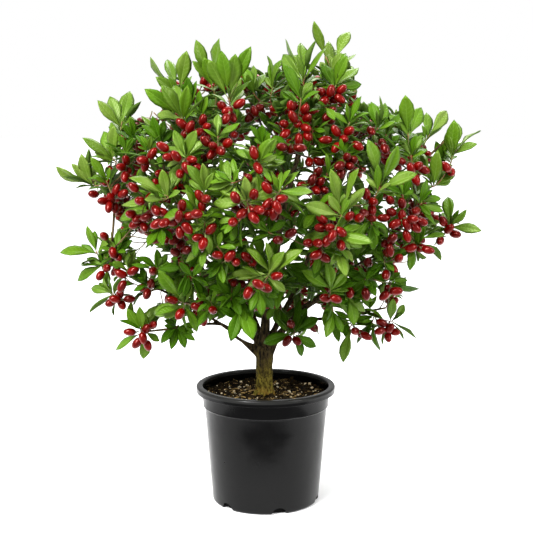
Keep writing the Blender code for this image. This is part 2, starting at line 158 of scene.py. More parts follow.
# Fibres: how many in all and by the trunk, where they start and how far they reach, their radii, the number
# and length of their steps, and how far above the soil they run and wave
FIBRES = 110
FIBRES_BY_TRUNK = 40
FIBRES_START_BY_TRUNK = (0.022, 0.060)
FIBRES_START = 0.104
FIBRES_REACH = 0.107
FIBRES_FROM_TRUNK = 0.018
FIBRE_RADII_BY_TRUNK = (0.0004, 0.0011)
FIBRE_RADII = (0.0003, 0.0007)
FIBRE_STEPS = 11
FIBRE_STEP = (0.0020, 0.0038)
FIBRE_LIFT = 0.0012
FIBRE_WAVE = 0.0008

# Trunk and boughs, by the rule of the solids
GAP = 0.0003
TRUNK_FOOT = Vector((-0.0025, 0.0, SOIL_HEIGHT + GAP))
FORK = Vector((-0.0020, 0.0, 0.284))
TRUNK_RADIUS = 0.0155
FLARE_RADIUS = 0.0200
FLARE_HEIGHT = 0.020
BOUGH_TIP_RADIUS = 0.0022
# A branch has a share of its parent's radius, and at least so many times that of a bough's tip
BRANCH_SHARE = 0.62
BRANCH_LEAST = 1.25
# How much a bough follows its parent where it leaves, the share of its mass's reach at which it ends, its
# straight end, and the share of the reach by which the stem goes on past the mass's centre
FOLLOW_PARENT = 0.45
ENTRY = 0.52
STRAIGHT_END = 0.008
STEM_PAST_CENTRE = 0.10
# The spacing of a bough's points in the solids, in the scene's finer path, and in the search for wood
LIMB_SPACING = 0.065
FINE_SPACING = 0.006
WOOD_SPACING = 0.003
# The length of a twig's curve handles as a share of each stretch
TWIG_HANDLE = 0.36
# How far a bough strays from its path, and the length at each end over which it comes back to it
STRAY = 0.0035
STRAY_END = 0.04

# Bark: the size of its skin's cells, the depth of its furrows and lumps, and the radius of full depth
BARK_VOXEL = 0.00142
FURROW_DEPTH = 0.00075
FINE_FURROW_DEPTH = 0.0002
LUMP_DEPTH = 0.0016
FULL_RELIEF_RADIUS = 0.012
BARK_BELOW_FOOT = 0.004
# Toes of the root flare: direction in degrees, length and thickness, their line as shares of the length and
# the thickness, and the radius at each point of that line as a share of the thickness
ROOTS = [
    (-150, 0.024, 0.0060), (-95, 0.022, 0.0056), (-38, 0.026, 0.0062), (20, 0.023, 0.0056),
    (88, 0.027, 0.0062), (158, 0.023, 0.0056),
]
ROOT_LINE = [(0.10, 2.6), (0.48, 0.9), (0.76, 0.0), (1.0, -0.7)]
ROOT_RADII = [0.9, 1.0, 0.75, 0.45]
# The web below a first limb: how far down the trunk it starts, on which step of the limb it ends, and its
# radii as shares of the limb's
WEB_DROP = 0.014
WEB_STEPS = 16
WEB_RADII = [1.5, 1.25, 0.9]
# The short stretch past the trunk's end that rounds over the fork's shoulder
SHOULDER = (0.001, 0.0, 0.010)
SHOULDER_RADIUS = 0.0052
# Sides of the tubes that the bark's skin is drawn round
TRUNK_SIDES = 20
BOUGH_SIDES = 12
ROOT_SIDES = 10

# Twigs, by the rule of the solids
INWARD_LIMIT = -0.35
GOLDEN_ANGLE = math.radians(137.508)
HEART = Vector((0.0, 0.0, 0.50))
UP = Vector((0.0, 0.0, 1.0))
TO_VIEWER = Vector((0.0, -math.cos(CAMERA_PITCH), math.sin(CAMERA_PITCH)))
SEED = 11
FILLING_SHOOTS = 150

# Leaves and berries, at life size
LEAF_LENGTH = 0.058
LEAF_WIDTH = 0.0224
LONGEST_LEAF = 0.061
LEAF_THICKNESS = 0.0005
BERRY_LENGTH = 0.0220
BERRY_WIDTH = 0.0147

# The greens of the leaves, lit and shaded copies from the youngest and best lit to the most shaded, which
# paint the crown's light and shade: dark and light, roughness and gloss
GREENS = [
    ("young", (0.100, 0.195, 0.008), (0.150, 0.235, 0.032), 0.34, 0.55),
    ("bright", (0.074, 0.165, 0.005), (0.116, 0.208, 0.018), 0.34, 0.50),
    ("mid", (0.066, 0.162, 0.003), (0.106, 0.218, 0.008), 0.35, 0.36),
    ("deep", (0.048, 0.132, 0.002), (0.082, 0.190, 0.005), 0.36, 0.22),
    ("dark", (0.030, 0.092, 0.001), (0.056, 0.146, 0.003), 0.38, 0.12),
]

# A mass: the centre and reach of its space, the number of its shoots in the solids, the limb that its bough
# starts on, and how far along that limb
Mass = namedtuple("Mass", "name centre reach shoots limb along")
MASSES = [
    Mass("top_peak", (0.112, 0.000, 0.758), 0.086, 5, "trunk", 0.98),
    Mass("top_left", (-0.138, 0.000, 0.738), 0.090, 5, "trunk", 0.86),
    Mass("right_upper", (0.225, 0.040, 0.665), 0.088, 5, "trunk", 0.74),
    Mass("low_left", (-0.208, -0.060, 0.325), 0.080, 4, "trunk", 0.78),
    Mass("back_left_upper", (-0.140, 0.190, 0.650), 0.100, 5, "trunk", 0.86),
    Mass("back_right_upper", (0.180, 0.200, 0.645), 0.100, 5, "trunk", 0.84),
    Mass("top_centre", (-0.045, -0.035, 0.765), 0.085, 5, "top_peak", 0.62),
    Mass("top_back", (0.030, 0.150, 0.735), 0.095, 4, "top_peak", 0.52),
    Mass("top_front", (0.060, -0.130, 0.680), 0.090, 5, "top_peak", 0.58),
    Mass("front_centre", (-0.030, -0.250, 0.580), 0.095, 5, "top_peak", 0.22),
    Mass("front_low", (-0.020, -0.180, 0.430), 0.088, 5, "front_centre", 0.30),
    Mass("front_right", (0.115, -0.220, 0.565), 0.098, 5, "top_peak", 0.34),
    Mass("right_far", (0.312, -0.020, 0.655), 0.076, 4, "right_upper", 0.70),
    Mass("right_mid", (0.266, -0.110, 0.518), 0.095, 5, "right_upper", 0.46),
    Mass("right_back", (0.270, 0.125, 0.505), 0.098, 4, "right_upper", 0.56),
    Mass("inner_right", (0.135, -0.120, 0.430), 0.080, 3, "right_upper", 0.20),
    Mass("low_right", (0.205, -0.040, 0.362), 0.085, 4, "right_upper", 0.16),
    Mass("low_centre", (0.072, -0.080, 0.345), 0.062, 3, "low_right", 0.25),
    Mass("left_upper", (-0.242, 0.020, 0.682), 0.085, 5, "top_left", 0.55),
    Mass("left_far", (-0.296, -0.040, 0.590), 0.076, 4, "left_upper", 0.45),
    Mass("front_left", (-0.160, -0.170, 0.580), 0.100, 5, "top_left", 0.34),
    Mass("inner_left", (-0.130, -0.100, 0.410), 0.082, 4, "front_left", 0.30),
    Mass("left_low", (-0.276, -0.045, 0.450), 0.085, 4, "low_left", 0.42),
    Mass("left_back", (-0.250, 0.130, 0.510), 0.100, 5, "back_left_upper", 0.36),
    Mass("back_centre", (-0.005, 0.280, 0.570), 0.092, 5, "back_left_upper", 0.50),
    Mass("back_left", (-0.130, 0.230, 0.420), 0.095, 4, "back_left_upper", 0.24),
    Mass("back_right", (0.130, 0.240, 0.455), 0.100, 5, "back_right_upper", 0.30),
    Mass("back_low", (0.050, 0.130, 0.350), 0.085, 3, "back_right_upper", 0.14),
]

# The first limbs, which leave the trunk: their radius, and the points they run by
FIRST_LIMBS = {
    "top_peak": (0.0080, [(0.005, 0.000, 0.371), (0.044, 0.000, 0.579)]),
    "top_left": (0.0050, [(-0.035, 0.004, 0.343)]),
    "right_upper": (0.0066, [(0.063, 0.000, 0.349), (0.131, 0.000, 0.415)]),
    "low_left": (0.0034, [(-0.055, -0.006, 0.307), (-0.086, -0.012, 0.330)]),
    "back_left_upper": (0.0060, [(-0.032, 0.050, 0.355)]),
    "back_right_upper": (0.0060, [(0.040, 0.055, 0.350)]),
}


# Objects and meshes


def linked(name, data):
    """A new object in the scene."""
    obj = bpy.data.objects.new(name, data)
    bpy.context.scene.collection.objects.link(obj)
    return obj


def add_piece(name, mesh, looks, replaced=(), smooth=True):
    """Adds a finished mesh as a piece of the plant."""
    for look in looks if isinstance(looks, list) else [looks]:
        mesh.materials.append(look)
    if smooth:
        mesh.shade_smooth()
    obj = linked(name, mesh)
    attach(obj, "root")
    if replaced:
        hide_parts(*replaced)


def mesh_from(name, vertices, faces, slots=None, uvs=None):
    """A mesh from an array of points and arrays of triangles or quads."""
    mesh = bpy.data.meshes.new(name)
    loops = np.concatenate([part.reshape(-1) for part in faces]).astype(np.int32)
    sizes = np.concatenate([np.full(len(part), part.shape[1]) for part in faces])
    starts = np.concatenate([[0], np.cumsum(sizes)[:-1]]).astype(np.int32)
    mesh.vertices.add(len(vertices))
    mesh.vertices.foreach_set("co", np.asarray(vertices, np.float32).ravel())
    mesh.loops.add(len(loops))
    mesh.loops.foreach_set("vertex_index", loops)
    mesh.polygons.add(len(sizes))
    mesh.polygons.foreach_set("loop_start", starts)
    if slots is not None:
        mesh.polygons.foreach_set("material_index", np.asarray(slots, np.int32))
    if uvs is not None:
        layer = mesh.uv_layers.new(name="UVMap")
        layer.data.foreach_set("uv", np.asarray(uvs, np.float32)[loops].ravel())
    mesh.update(calc_edges=True)
    mesh.validate()
    return mesh


def evaluated_mesh(obj):
    depsgraph = bpy.context.evaluated_depsgraph_get()
    return bpy.data.meshes.new_from_object(obj.evaluated_get(depsgraph))


class Joined:
    """Many small shapes gathered into one mesh."""

    def __init__(self):
        self.points = []
        self.faces = {3: [], 4: []}
        self.slots = {3: [], 4: []}
        self.uvs = []
        self.count = 0

    def add(self, points, faces, slots=None, uvs=None):
        """faces is a list of arrays of triangles or quads, and slots has one array for each."""
        for i, part in enumerate(faces):
            sides = part.shape[1]
            self.faces[sides].append(part + self.count)
            self.slots[sides].append(slots[i] if slots else np.zeros(len(part), np.int32))
        self.points.append(points)
        self.uvs.append(uvs if uvs is not None else np.zeros((len(points), 2)))
        self.count += len(points)

    def mesh(self, name):
        faces = [np.concatenate(parts) for parts in self.faces.values() if parts]
        slots = [np.concatenate(parts) for parts in self.slots.values() if parts]
        points, uvs = np.concatenate(self.points), np.concatenate(self.uvs)
        return mesh_from(name, points, faces, np.concatenate(slots), uvs)


def normalised(vectors):
    return vectors / np.linalg.norm(vectors, axis=-1, keepdims=True)


def ring_frames(path):
    """A tangent and two sides at each point of a path, turned along it without twist."""
    steps = normalised(np.diff(path, axis=0))
    tangents = np.concatenate([steps[:1], normalised(steps[1:] + steps[:-1]), steps[-1:]])
    side = np.cross(tangents[0], (0.0, 0.0, 1.0) if abs(tangents[0][2]) < 0.9 else (1.0, 0.0, 0.0))
    sides = []
    for tangent in tangents:
        side = side - tangent * side.dot(tangent)
        side = side / np.linalg.norm(side)
        sides.append(side)
    sides = np.array(sides)
    return tangents, sides, np.cross(tangents, sides)


def tube(path, radii, count):
    """Points and faces of a closed tube round a path."""
    path = np.asarray(path, float)
    radii = np.asarray(radii, float)
    _, first, second = ring_frames(path)
    angles = np.arange(count) * math.tau / count
    across, up = np.cos(angles)[None, :, None], np.sin(angles)[None, :, None]
    rings = first[:, None, :] * across + second[:, None, :] * up
    points = (path[:, None, :] + rings * radii[:, None, None]).reshape(-1, 3)
    points = np.concatenate([points, path[:1], path[-1:]])
    i = np.arange(len(path) - 1)[:, None] * count
    j = np.arange(count)[None, :]
    after = (j + 1) % count
    quads = np.stack([i + j, i + after, i + count + after, i + count + j], axis=-1).reshape(-1, 4)
    foot, top = len(points) - 2, len(points) - 1
    last = (len(path) - 1) * count
    j, after = j[0], after[0]
    foot_cap = np.stack([np.full(count, foot), after, j], axis=-1)
    top_cap = np.stack([np.full(count, top), last + j, last + after], axis=-1)
    return points, [quads, np.concatenate([foot_cap, top_cap])]


def ring_faces(around, rings):
    """Triangles and quads of a closed shape whose points are one at the start, rings, and one at the end."""
    j = np.arange(around)
    after = (j + 1) % around
    last = 1 + (rings - 1) * around
    start = np.stack([np.zeros(around, int), 1 + j, 1 + after], axis=-1)
    end = np.stack([np.full(around, last + around), last + after, last + j], axis=-1)
    quads = []
    for ring in range(rings - 1):
        a, b = 1 + ring * around, 1 + (ring + 1) * around
        quads.append(np.stack([a + j, b + j, b + after, a + after], axis=-1))
    return [np.concatenate([start, end]), np.concatenate(quads)]


# Materials


class Nodes:
    """A material whose node tree is built by short calls."""

    def __init__(self, name, colour, roughness, **values):
        self.material = bpy.data.materials.new(name)
        self.material.use_nodes = True
        self.tree = self.material.node_tree
        self.shader = self.tree.nodes["Principled BSDF"]
        self.shader.inputs["Base Color"].default_value = (*colour, 1.0)
        self.shader.inputs["Roughness"].default_value = roughness
        for key, value in values.items():
            self.shader.inputs[key.replace("_", " ")].default_value = value

    def node(self, kind, values=None, **settings):
        made = self.tree.nodes.new(kind)
        for key, value in settings.items():
            setattr(made, key, value)
        for key, value in (values or {}).items():
            if isinstance(value, bpy.types.NodeSocket):
                self.tree.links.new(value, made.inputs[key])
            else:
                made.inputs[key].default_value = value
        return made

    def place(self, scale=(1.0, 1.0, 1.0)):
        """Object coordinates, stretched."""
        coordinates = self.node("ShaderNodeTexCoord").outputs["Object"]
        return self.node("ShaderNodeMapping", {"Vector": coordinates, "Scale": scale}).outputs["Vector"]

    def height(self):
        return self.node("ShaderNodeSeparateXYZ", {"Vector": self.place()}).outputs["Z"]

    def noise(self, scale, detail=3.0, roughness=0.55, stretch=(1.0, 1.0, 1.0)):
        values = {"Vector": self.place(stretch), "Scale": scale, "Detail": detail, "Roughness": roughness}
        return self.node("ShaderNodeTexNoise", values).outputs["Fac"]

    def math(self, operation, first, second=0.0, third=0.0):
        return self.node("ShaderNodeMath", {0: first, 1: second, 2: third}, operation=operation).outputs[0]

    def ramp(self, factor, low, high):
        """The factor spread over 0 to 1 between two of its values."""
        values = {"Value": factor, "From Min": low, "From Max": high}
        return self.node("ShaderNodeMapRange", values, clamp=True).outputs["Result"]

    def mix(self, factor, first, second):
        """One colour into another by the factor."""
        made = self.tree.nodes.new("ShaderNodeMix")
        made.data_type = "RGBA"
        for socket, value in ((made.inputs[0], factor), (made.inputs[6], first), (made.inputs[7], second)):
            if isinstance(value, bpy.types.NodeSocket):
                self.tree.links.new(value, socket)
            else:
                socket.default_value = (*value, 1.0) if isinstance(value, tuple) else value
        return made.outputs[2]

    def patches(self, values, limits, dark, light):
        """Patches from dark to light by a noise of these values, between two of its levels."""
        return self.mix(self.ramp(self.noise(*values), *limits), dark, light)

    def colour(self, socket):
        self.tree.links.new(socket, self.shader.inputs["Base Color"])

    def rough(self, socket):
        self.tree.links.new(socket, self.shader.inputs["Roughness"])

    def bump(self, height, distance, strength=1.0):
        made = self.node("ShaderNodeBump", {"Height": height, "Distance": distance, "Strength": strength})
        earlier = self.shader.inputs["Normal"].links
        if earlier:
            self.tree.links.new(earlier[0].from_socket, made.inputs["Normal"])
        self.tree.links.new(made.outputs["Normal"], self.shader.inputs["Normal"])


def plastic_look():
    look = Nodes("black_plastic", (0.0020, 0.0020, 0.0020), 0.27, Specular_IOR_Level=0.155)
    scuffs = look.ramp(look.noise(9.0, 5.0, 0.6, (1.0, 1.0, 0.35)), 0.45, 0.75)
    height = look.height()
    # Painted light and shade by height: near black from the upper body up to the lip, painted shade under the
    # lip's overhang, and lighter towards the foot, a painted reflection of the floor
    painted_light_by_height = look.mix(look.ramp(height, 0.150, 0.050), (0.0001, 0.0001, 0.0002), (0.0036, 0.0036, 0.0036))
    # The lip is painted lighter grey, a painted highlight on its lit top and outer face
    lip = look.ramp(height, POT_HEIGHT - 0.60 * LIP_DROP, POT_HEIGHT - 0.45 * LIP_DROP)
    painted_light_by_height = look.mix(lip, painted_light_by_height, (0.0190, 0.0190, 0.0180))
    look.colour(look.mix(look.math("MULTIPLY", scuffs, 0.15), painted_light_by_height, (0.0080, 0.0080, 0.0080)))
    look.rough(look.ramp(look.noise(38.0, 4.0), -0.15, 2.95))
    look.bump(look.noise(900.0, 2.0), 0.00006, 0.5)
    look.bump(look.noise(18.0, 2.0), 0.0030, 0.30)
    return look.material


def soil_look():
    """Dark potting mix, near black below a height: painted shade where it shows through the notches."""
    look = Nodes("potting_soil", (0.03, 0.018, 0.011), 0.95, Specular_IOR_Level=0.10)
    loose = look.patches((60.0, 6.0, 0.7), (0.35, 0.7), (0.003, 0.002, 0.001), (0.022, 0.014, 0.005))
    # Near black low down: painted shade inside the pot's foot
    look.colour(look.mix(look.ramp(look.height(), 0.06, 0.14), (0.0005, 0.0004, 0.0003), loose))
    look.bump(look.noise(420.0, 6.0, 0.75), 0.002, 0.9)
    return look.material


def crumb_look():
    look = Nodes("soil_crumbs", (0.03, 0.018, 0.011), 0.92, Specular_IOR_Level=0.10)
    look.colour(look.patches((160.0, 4.0, 0.7), (0.4, 0.65), (0.003, 0.002, 0.001), (0.036, 0.022, 0.007)))
    look.bump(look.noise(700.0, 4.0, 0.7), 0.001, 0.7)
    return look.material


def perlite_look():
    look = Nodes("perlite", (0.62, 0.54, 0.42), 0.85)
    look.colour(look.patches((220.0, 3.0), (0.35, 0.7), (0.62, 0.46, 0.24), (0.93, 0.86, 0.66)))
    look.bump(look.noise(900.0, 3.0), 0.0006, 0.6)
    return look.material


def chip_look():
    look = Nodes("bark_chips", (0.17, 0.095, 0.045), 0.85)
    look.colour(look.patches((90.0, 3.0), (0.38, 0.64), (0.060, 0.034, 0.010), (0.54, 0.35, 0.11)))
    look.bump(look.noise(500.0, 4.0, 0.6, (1.0, 1.0, 0.3)), 0.0008, 0.6)
    return look.material


def bark_look():
    """Olive and mossy at the foot, browner and darker up the fork, with fine furrows."""
    look = Nodes("bark", (0.13, 0.10, 0.055), 0.88, Specular_IOR_Level=0.15)
    height = look.height()
    furrows = look.noise(260.0, 5.0, 0.65, (1.0, 1.0, 0.24))
    patches = look.noise(75.0, 4.0, 0.6, (1.0, 1.0, 0.5))
    wobble = look.math("MULTIPLY_ADD", patches, 0.11, -0.055)
    level = look.math("ADD", height, wobble)
    specks = look.noise(210.0, 5.0, 0.75, (1.0, 1.0, 0.55))
    old = look.mix(look.ramp(furrows, 0.41, 0.60), (0.006, 0.004, 0.0015), (0.082, 0.058, 0.022))
    moss = look.mix(look.ramp(specks, 0.41, 0.59), (0.026, 0.020, 0.002), (0.235, 0.184, 0.028))
    rust = look.mix(look.ramp(furrows, 0.40, 0.60), (0.110, 0.045, 0.005), (0.320, 0.160, 0.030))
    foot = look.mix(look.ramp(patches, 0.50, 0.60), moss, rust)
    low = look.mix(look.ramp(level, 0.208, 0.222), foot, moss)
    look.colour(look.mix(look.ramp(level, 0.224, 0.272), low, old))
    look.bump(furrows, 0.0009, 0.8)
    look.bump(specks, 0.0010, 0.8)
    return look.material


def twig_look():
    look = Nodes("twig", (0.10, 0.068, 0.035), 0.80, Specular_IOR_Level=0.15)
    look.colour(look.patches((55.0, 3.0), (0.38, 0.64), (0.045, 0.031, 0.011), (0.175, 0.125, 0.048)))
    look.bump(look.noise(600.0, 3.0), 0.0005, 0.5)
    return look.material


def shoot_look():
    """The young end of a twig, from tan to reddish green."""
    look = Nodes("young_shoot", (0.20, 0.17, 0.05), 0.55)
    look.colour(look.patches((70.0, 2.0), (0.42, 0.60), (0.240, 0.085, 0.030), (0.180, 0.200, 0.050)))
    look.bump(look.noise(700.0, 2.0), 0.0003, 0.4)
    return look.material


def leaf_look(name, dark, light, roughness, gloss):
    """A green of its own, a little uneven, with pale side veins across the blade."""
    look = Nodes(name, light, roughness, Specular_IOR_Level=gloss, Specular_Tint=(0.85, 1.0, 0.45, 1.0))
    place = look.node("ShaderNodeSeparateXYZ", {"Vector": look.node("ShaderNodeTexCoord").outputs["UV"]})
    across = look.math("ABSOLUTE", look.math("MULTIPLY_ADD", place.outputs["X"], 2.0, -1.0))
    slant = look.math("MULTIPLY_ADD", across, -0.16, place.outputs["Y"])
    saw = look.math("FRACT", look.math("MULTIPLY", slant, 9.0))
    vein = look.ramp(look.math("ABSOLUTE", look.math("SUBTRACT", saw, 0.5)), 0.12, 0.0)
    blade = look.patches((26.0, 3.0, 0.6), (0.36, 0.66), dark, light)
    pale = tuple(min(1.0, 1.35 * value + 0.02) for value in light)
    look.colour(look.mix(look.math("MULTIPLY", vein, 0.35), blade, pale))
    look.bump(vein, -0.00035, 0.55)
    look.bump(look.noise(420.0, 2.0), 0.0003, 0.35)
    return look.material


def under_look():
    look = Nodes("leaf_underside", (0.10, 0.21, 0.06), 0.65, Specular_IOR_Level=0.05)
    look.colour(look.patches((30.0, 3.0), (0.36, 0.66), (0.052, 0.105, 0.012), (0.100, 0.175, 0.028)))
    look.bump(look.noise(420.0, 2.0), 0.0003, 0.4)
    return look.material


def rib_look(name, light):
    """The rib of a leaf, paler than its green."""
    look = Nodes(name, light, 0.5, Specular_IOR_Level=0.20)
    pale = [tuple(share * value + 0.012 for value in light) for share in (1.15, 1.75)]
    look.colour(look.patches((40.0, 2.0), (0.36, 0.66), *pale))
    return look.material


def berry_look(name, dark, light):
    look = Nodes(name, light, 0.28, Specular_IOR_Level=0.60, Specular_Tint=(1.0, 0.14, 0.10, 1.0))
    look.shader.inputs["Coat Weight"].default_value = 0.30
    look.shader.inputs["Coat Roughness"].default_value = 0.07
    look.colour(look.patches((48.0, 3.0, 0.6), (0.36, 0.66), dark, light))
    look.bump(look.noise(260.0, 2.0), 0.0003, 0.25)
    return look.material


def stalk_look():
    look = Nodes("berry_stalk", (0.14, 0.15, 0.04), 0.6)
    look.colour(look.patches((80.0, 2.0), (0.4, 0.6), (0.100, 0.050, 0.020), (0.150, 0.190, 0.050)))
    return look.material


# Pot


def arc(centre, radius, start, end, points):
    """Points of an arc in a profile, its angles in degrees from outwards to upwards."""
    angles = [math.radians(start + (end - start) * i / (points - 1)) for i in range(points)]
    return [(centre[0] + radius * math.cos(a), centre[1] + radius * math.sin(a)) for a in angles]


def turned(profile, steps):
    """The mesh of a profile turned round the axis."""
    mesh = bpy.data.meshes.new("turned")
    mesh.from_pydata([(r, 0.0, z) for r, z in profile], [(i, i + 1) for i in range(len(profile) - 1)], [])
    obj = linked("turned", mesh)
    screw = obj.modifiers.new("turn", "SCREW")
    screw.steps = steps
    screw.render_steps = steps
    screw.use_merge_vertices = True
    screw.merge_threshold = 0.00002
    return obj


def pot_profile():
    """The pot's outline as radius and height, from its floor inside over the lip to the underside."""
    inner = [
        (0.0, FLOOR),
        (BASE_RADIUS - WALL - INNER_CORNER, FLOOR),
        (BASE_RADIUS - WALL, FLOOR + INNER_CORNER),
        (BODY_TOP_RADIUS - WALL, BAND_FOOT_HEIGHT),
        (BAND_FOOT_RADIUS - WALL, BAND_FOOT_HEIGHT + WALL),
        (BAND_TOP_RADIUS - WALL, POT_HEIGHT - 0.003),
    ]
    mouth_centre = (BAND_TOP_RADIUS - WALL + MOUTH_ROUND, POT_HEIGHT - MOUTH_ROUND)
    mouth = arc(mouth_centre, MOUTH_ROUND, 180, 90, 5)
    lip = arc((RIM_RADIUS - LIP_ROUND, POT_HEIGHT - LIP_ROUND), LIP_ROUND, 90, 0, 8)
    foot_of_lip = POT_HEIGHT - LIP_DROP
    lip.append((RIM_RADIUS - 0.0004, foot_of_lip + 0.0012))
    lip += arc((RIM_RADIUS - 0.0012, foot_of_lip + LIP_EDGE_ROUND), LIP_EDGE_ROUND, 0, -90, 4)
    lip.append((RIM_RADIUS - WALL - 0.0006, foot_of_lip + 0.0002))
    lip.append((RIM_RADIUS - WALL - 0.0008, POT_HEIGHT - 0.0045))
    band = [
        (BAND_TOP_RADIUS + 0.0006, POT_HEIGHT - 0.0050),
        (BAND_TOP_RADIUS - 0.0008, POT_HEIGHT - 0.0130),
        (BAND_TOP_RADIUS - 0.0010, POT_HEIGHT - 0.0180),
        (BAND_FOOT_RADIUS + 0.0004, BAND_FOOT_HEIGHT + 0.0022),
        (BAND_FOOT_RADIUS + 0.0008, BAND_FOOT_HEIGHT + 0.0010),
        (BAND_FOOT_RADIUS, BAND_FOOT_HEIGHT - 0.0004),
        (BODY_TOP_RADIUS + 0.0005, BAND_FOOT_HEIGHT - 0.0016),
        (BODY_TOP_RADIUS - 0.0002, BAND_FOOT_HEIGHT - 0.0040),
    ]
    ends = list(zip(band[-1], (BASE_RADIUS, BASE_ROUND)))
    body = [[top + (low - top) * i / BODY_STEPS for top, low in ends] for i in range(1, BODY_STEPS)]
    foot = arc((BASE_RADIUS - BASE_ROUND, BASE_ROUND), BASE_ROUND, 0, -90, 7)
    return inner + mouth + lip + band + body + foot + [(0.0, 0.0)]


def notch_cutter(index):
    """The body that cuts one drain notch out of the pot's foot."""
    angle = NOTCH_FIRST_ANGLE + index * math.tau / NOTCH_COUNT - math.pi / 2
    outwards = Vector((math.cos(angle), math.sin(angle), 0.0))
    mesh = bpy.data.meshes.new("notch")
    bm = bmesh.new()
    bmesh.ops.create_cone(bm, cap_ends=True, segments=40, radius1=1.0, radius2=1.0, depth=2 * NOTCH_DEPTH)
    bm.to_mesh(mesh)
    bm.free()
    cutter = linked("notch", mesh)
    cutter.rotation_euler = outwards.to_track_quat("Z", "Y").to_euler()
    cutter.scale = (NOTCH_WIDTH / 2, NOTCH_HEIGHT, 1.0)
    cutter.location = outwards * BASE_RADIUS
    return cutter


def make_pot(look):
    pot = turned(pot_profile(), POT_STEPS)
    cutters = [notch_cutter(index) for index in range(NOTCH_COUNT)]
    for cutter in cutters:
        cut = pot.modifiers.new("notch", "BOOLEAN")
        cut.operation = "DIFFERENCE"
        cut.object = cutter
    mesh = evaluated_mesh(pot)
    for obj in [pot] + cutters:
        bpy.data.objects.remove(obj)
    add_piece("nursery_pot", mesh, look, ["pot"])
    mesh.set_sharp_from_angle(angle=POT_SHARP_ANGLE)


# Soil


def soil_level(x, y):
    """The height of the uneven soil, which banks up a little round the trunk and rises to the wall."""
    away = math.hypot(x - TRUNK_FOOT.x, y)
    # Broad waves, and shorter ones half as high
    swell = noise.noise(Vector((x * 28, y * 28, 3.1))) + 0.5 * noise.noise(Vector((x * 75, y * 75, 7.7)))
    bank = BANK_HEIGHT * math.exp(-((away / BANK_REACH) ** 2))
    edge = max(0.0, (math.hypot(x, y) - RISE_START) / RISE_WIDTH)
    return SOIL_HEIGHT - SOIL_DROP + SOIL_SWELL * swell + bank + SOIL_RISE * min(1.0, edge)


def inner_radius(height):
    """The radius of the pot's inner wall at a height."""
    share = (height - FLOOR) / (BAND_FOOT_HEIGHT - FLOOR)
    if height < BAND_FOOT_HEIGHT:
        return BASE_RADIUS - WALL + (BODY_TOP_RADIUS - BASE_RADIUS) * share
    share = (height - BAND_FOOT_HEIGHT) / (POT_HEIGHT - BAND_FOOT_HEIGHT)
    return BAND_FOOT_RADIUS - WALL + (BAND_TOP_RADIUS - BAND_FOOT_RADIUS) * share


def ring_points(radius, height_at):
    """A ring of points round the pot's axis, at the height that each spot has."""
    angles = [i * math.tau / SOIL_AROUND for i in range(SOIL_AROUND)]
    spots = [(radius * math.cos(angle), radius * math.sin(angle)) for angle in angles]
    return [(x, y, height_at(x, y)) for x, y in spots]


def make_soil(look):
    """A closed bed of soil: a rough top, and sides and a floor a gap clear of the pot."""
    edge = inner_radius(SOIL_HEIGHT) - GAP
    points = [(0.0, 0.0, soil_level(0.0, 0.0))]
    for ring in range(1, SOIL_RINGS + 1):
        points += ring_points(edge * ring / SOIL_RINGS, soil_level)
    floor = FLOOR + GAP
    levels = [BAND_FOOT_HEIGHT + WALL + 0.001, BAND_FOOT_HEIGHT - 0.001, 0.09, 0.02, floor]
    for height in levels:
        radius = (BAND_FOOT_RADIUS if height > BAND_FOOT_HEIGHT else inner_radius(height) + WALL) - WALL - GAP
        if height == floor:
            radius -= SOIL_FOOT_INSET
        points += ring_points(radius, lambda x, y: height)
    points.append((0.0, 0.0, floor))
    mesh = mesh_from("soil_bed", np.array(points), ring_faces(SOIL_AROUND, SOIL_RINGS + len(levels)))
    add_piece("soil_bed", mesh, look, ["soil"])


def lump(subdivisions, rng, roughness):
    """Points and triangles of an irregular lump about one unit across."""
    bm = bmesh.new()
    bmesh.ops.create_icosphere(bm, subdivisions=subdivisions, radius=0.5)
    offset = Vector((rng.uniform(-50, 50), rng.uniform(-50, 50), rng.uniform(-50, 50)))
    for vertex in bm.verts:
        vertex.co *= 1 + roughness * noise.noise(vertex.co * 2.6 + offset)
    points = np.array([v.co[:] for v in bm.verts])
    faces = np.array([[v.index for v in face.verts] for face in bm.faces])
    bm.free()
    return points, faces


def strew(kind, look, rng, shapes):
    """Many lumps or chips of a kind on the soil, joined into one piece."""
    joined = Joined()
    short, long = kind.length
    left = kind.count
    while left:
        radius = STREWN_RADIUS * math.sqrt(rng.random())
        angle = rng.uniform(0, math.tau)
        x, y = radius * math.cos(angle), radius * math.sin(angle)
        if math.hypot(x - TRUNK_FOOT.x, y) < STREWN_FROM_TRUNK:
            continue
        points, faces = rng.choice(shapes)
        length = short + (long - short) * rng.random() ** 1.8
        scale = (length, length * rng.uniform(*kind.width), length * rng.uniform(*kind.thickness))
        turn = Matrix.Rotation(rng.uniform(0, math.tau), 3, "Z") @ Matrix.Rotation(rng.gauss(0, 0.35), 3, "X")
        turn = turn @ Matrix.Rotation(rng.gauss(0, 0.30), 3, "Y") @ Matrix.Diagonal(scale)
        level = soil_level(x, y) + scale[2] * (0.5 - kind.sink)
        moved = points @ np.array(turn).T + np.array((x, y, level))
        if np.hypot(moved[:, 0], moved[:, 1]).max() < inner_radius(SOIL_HEIGHT) - STREWN_FROM_WALL:
            joined.add(moved, [faces])
            left -= 1
    add_piece(kind.name, joined.mesh(kind.name), look, smooth=False)


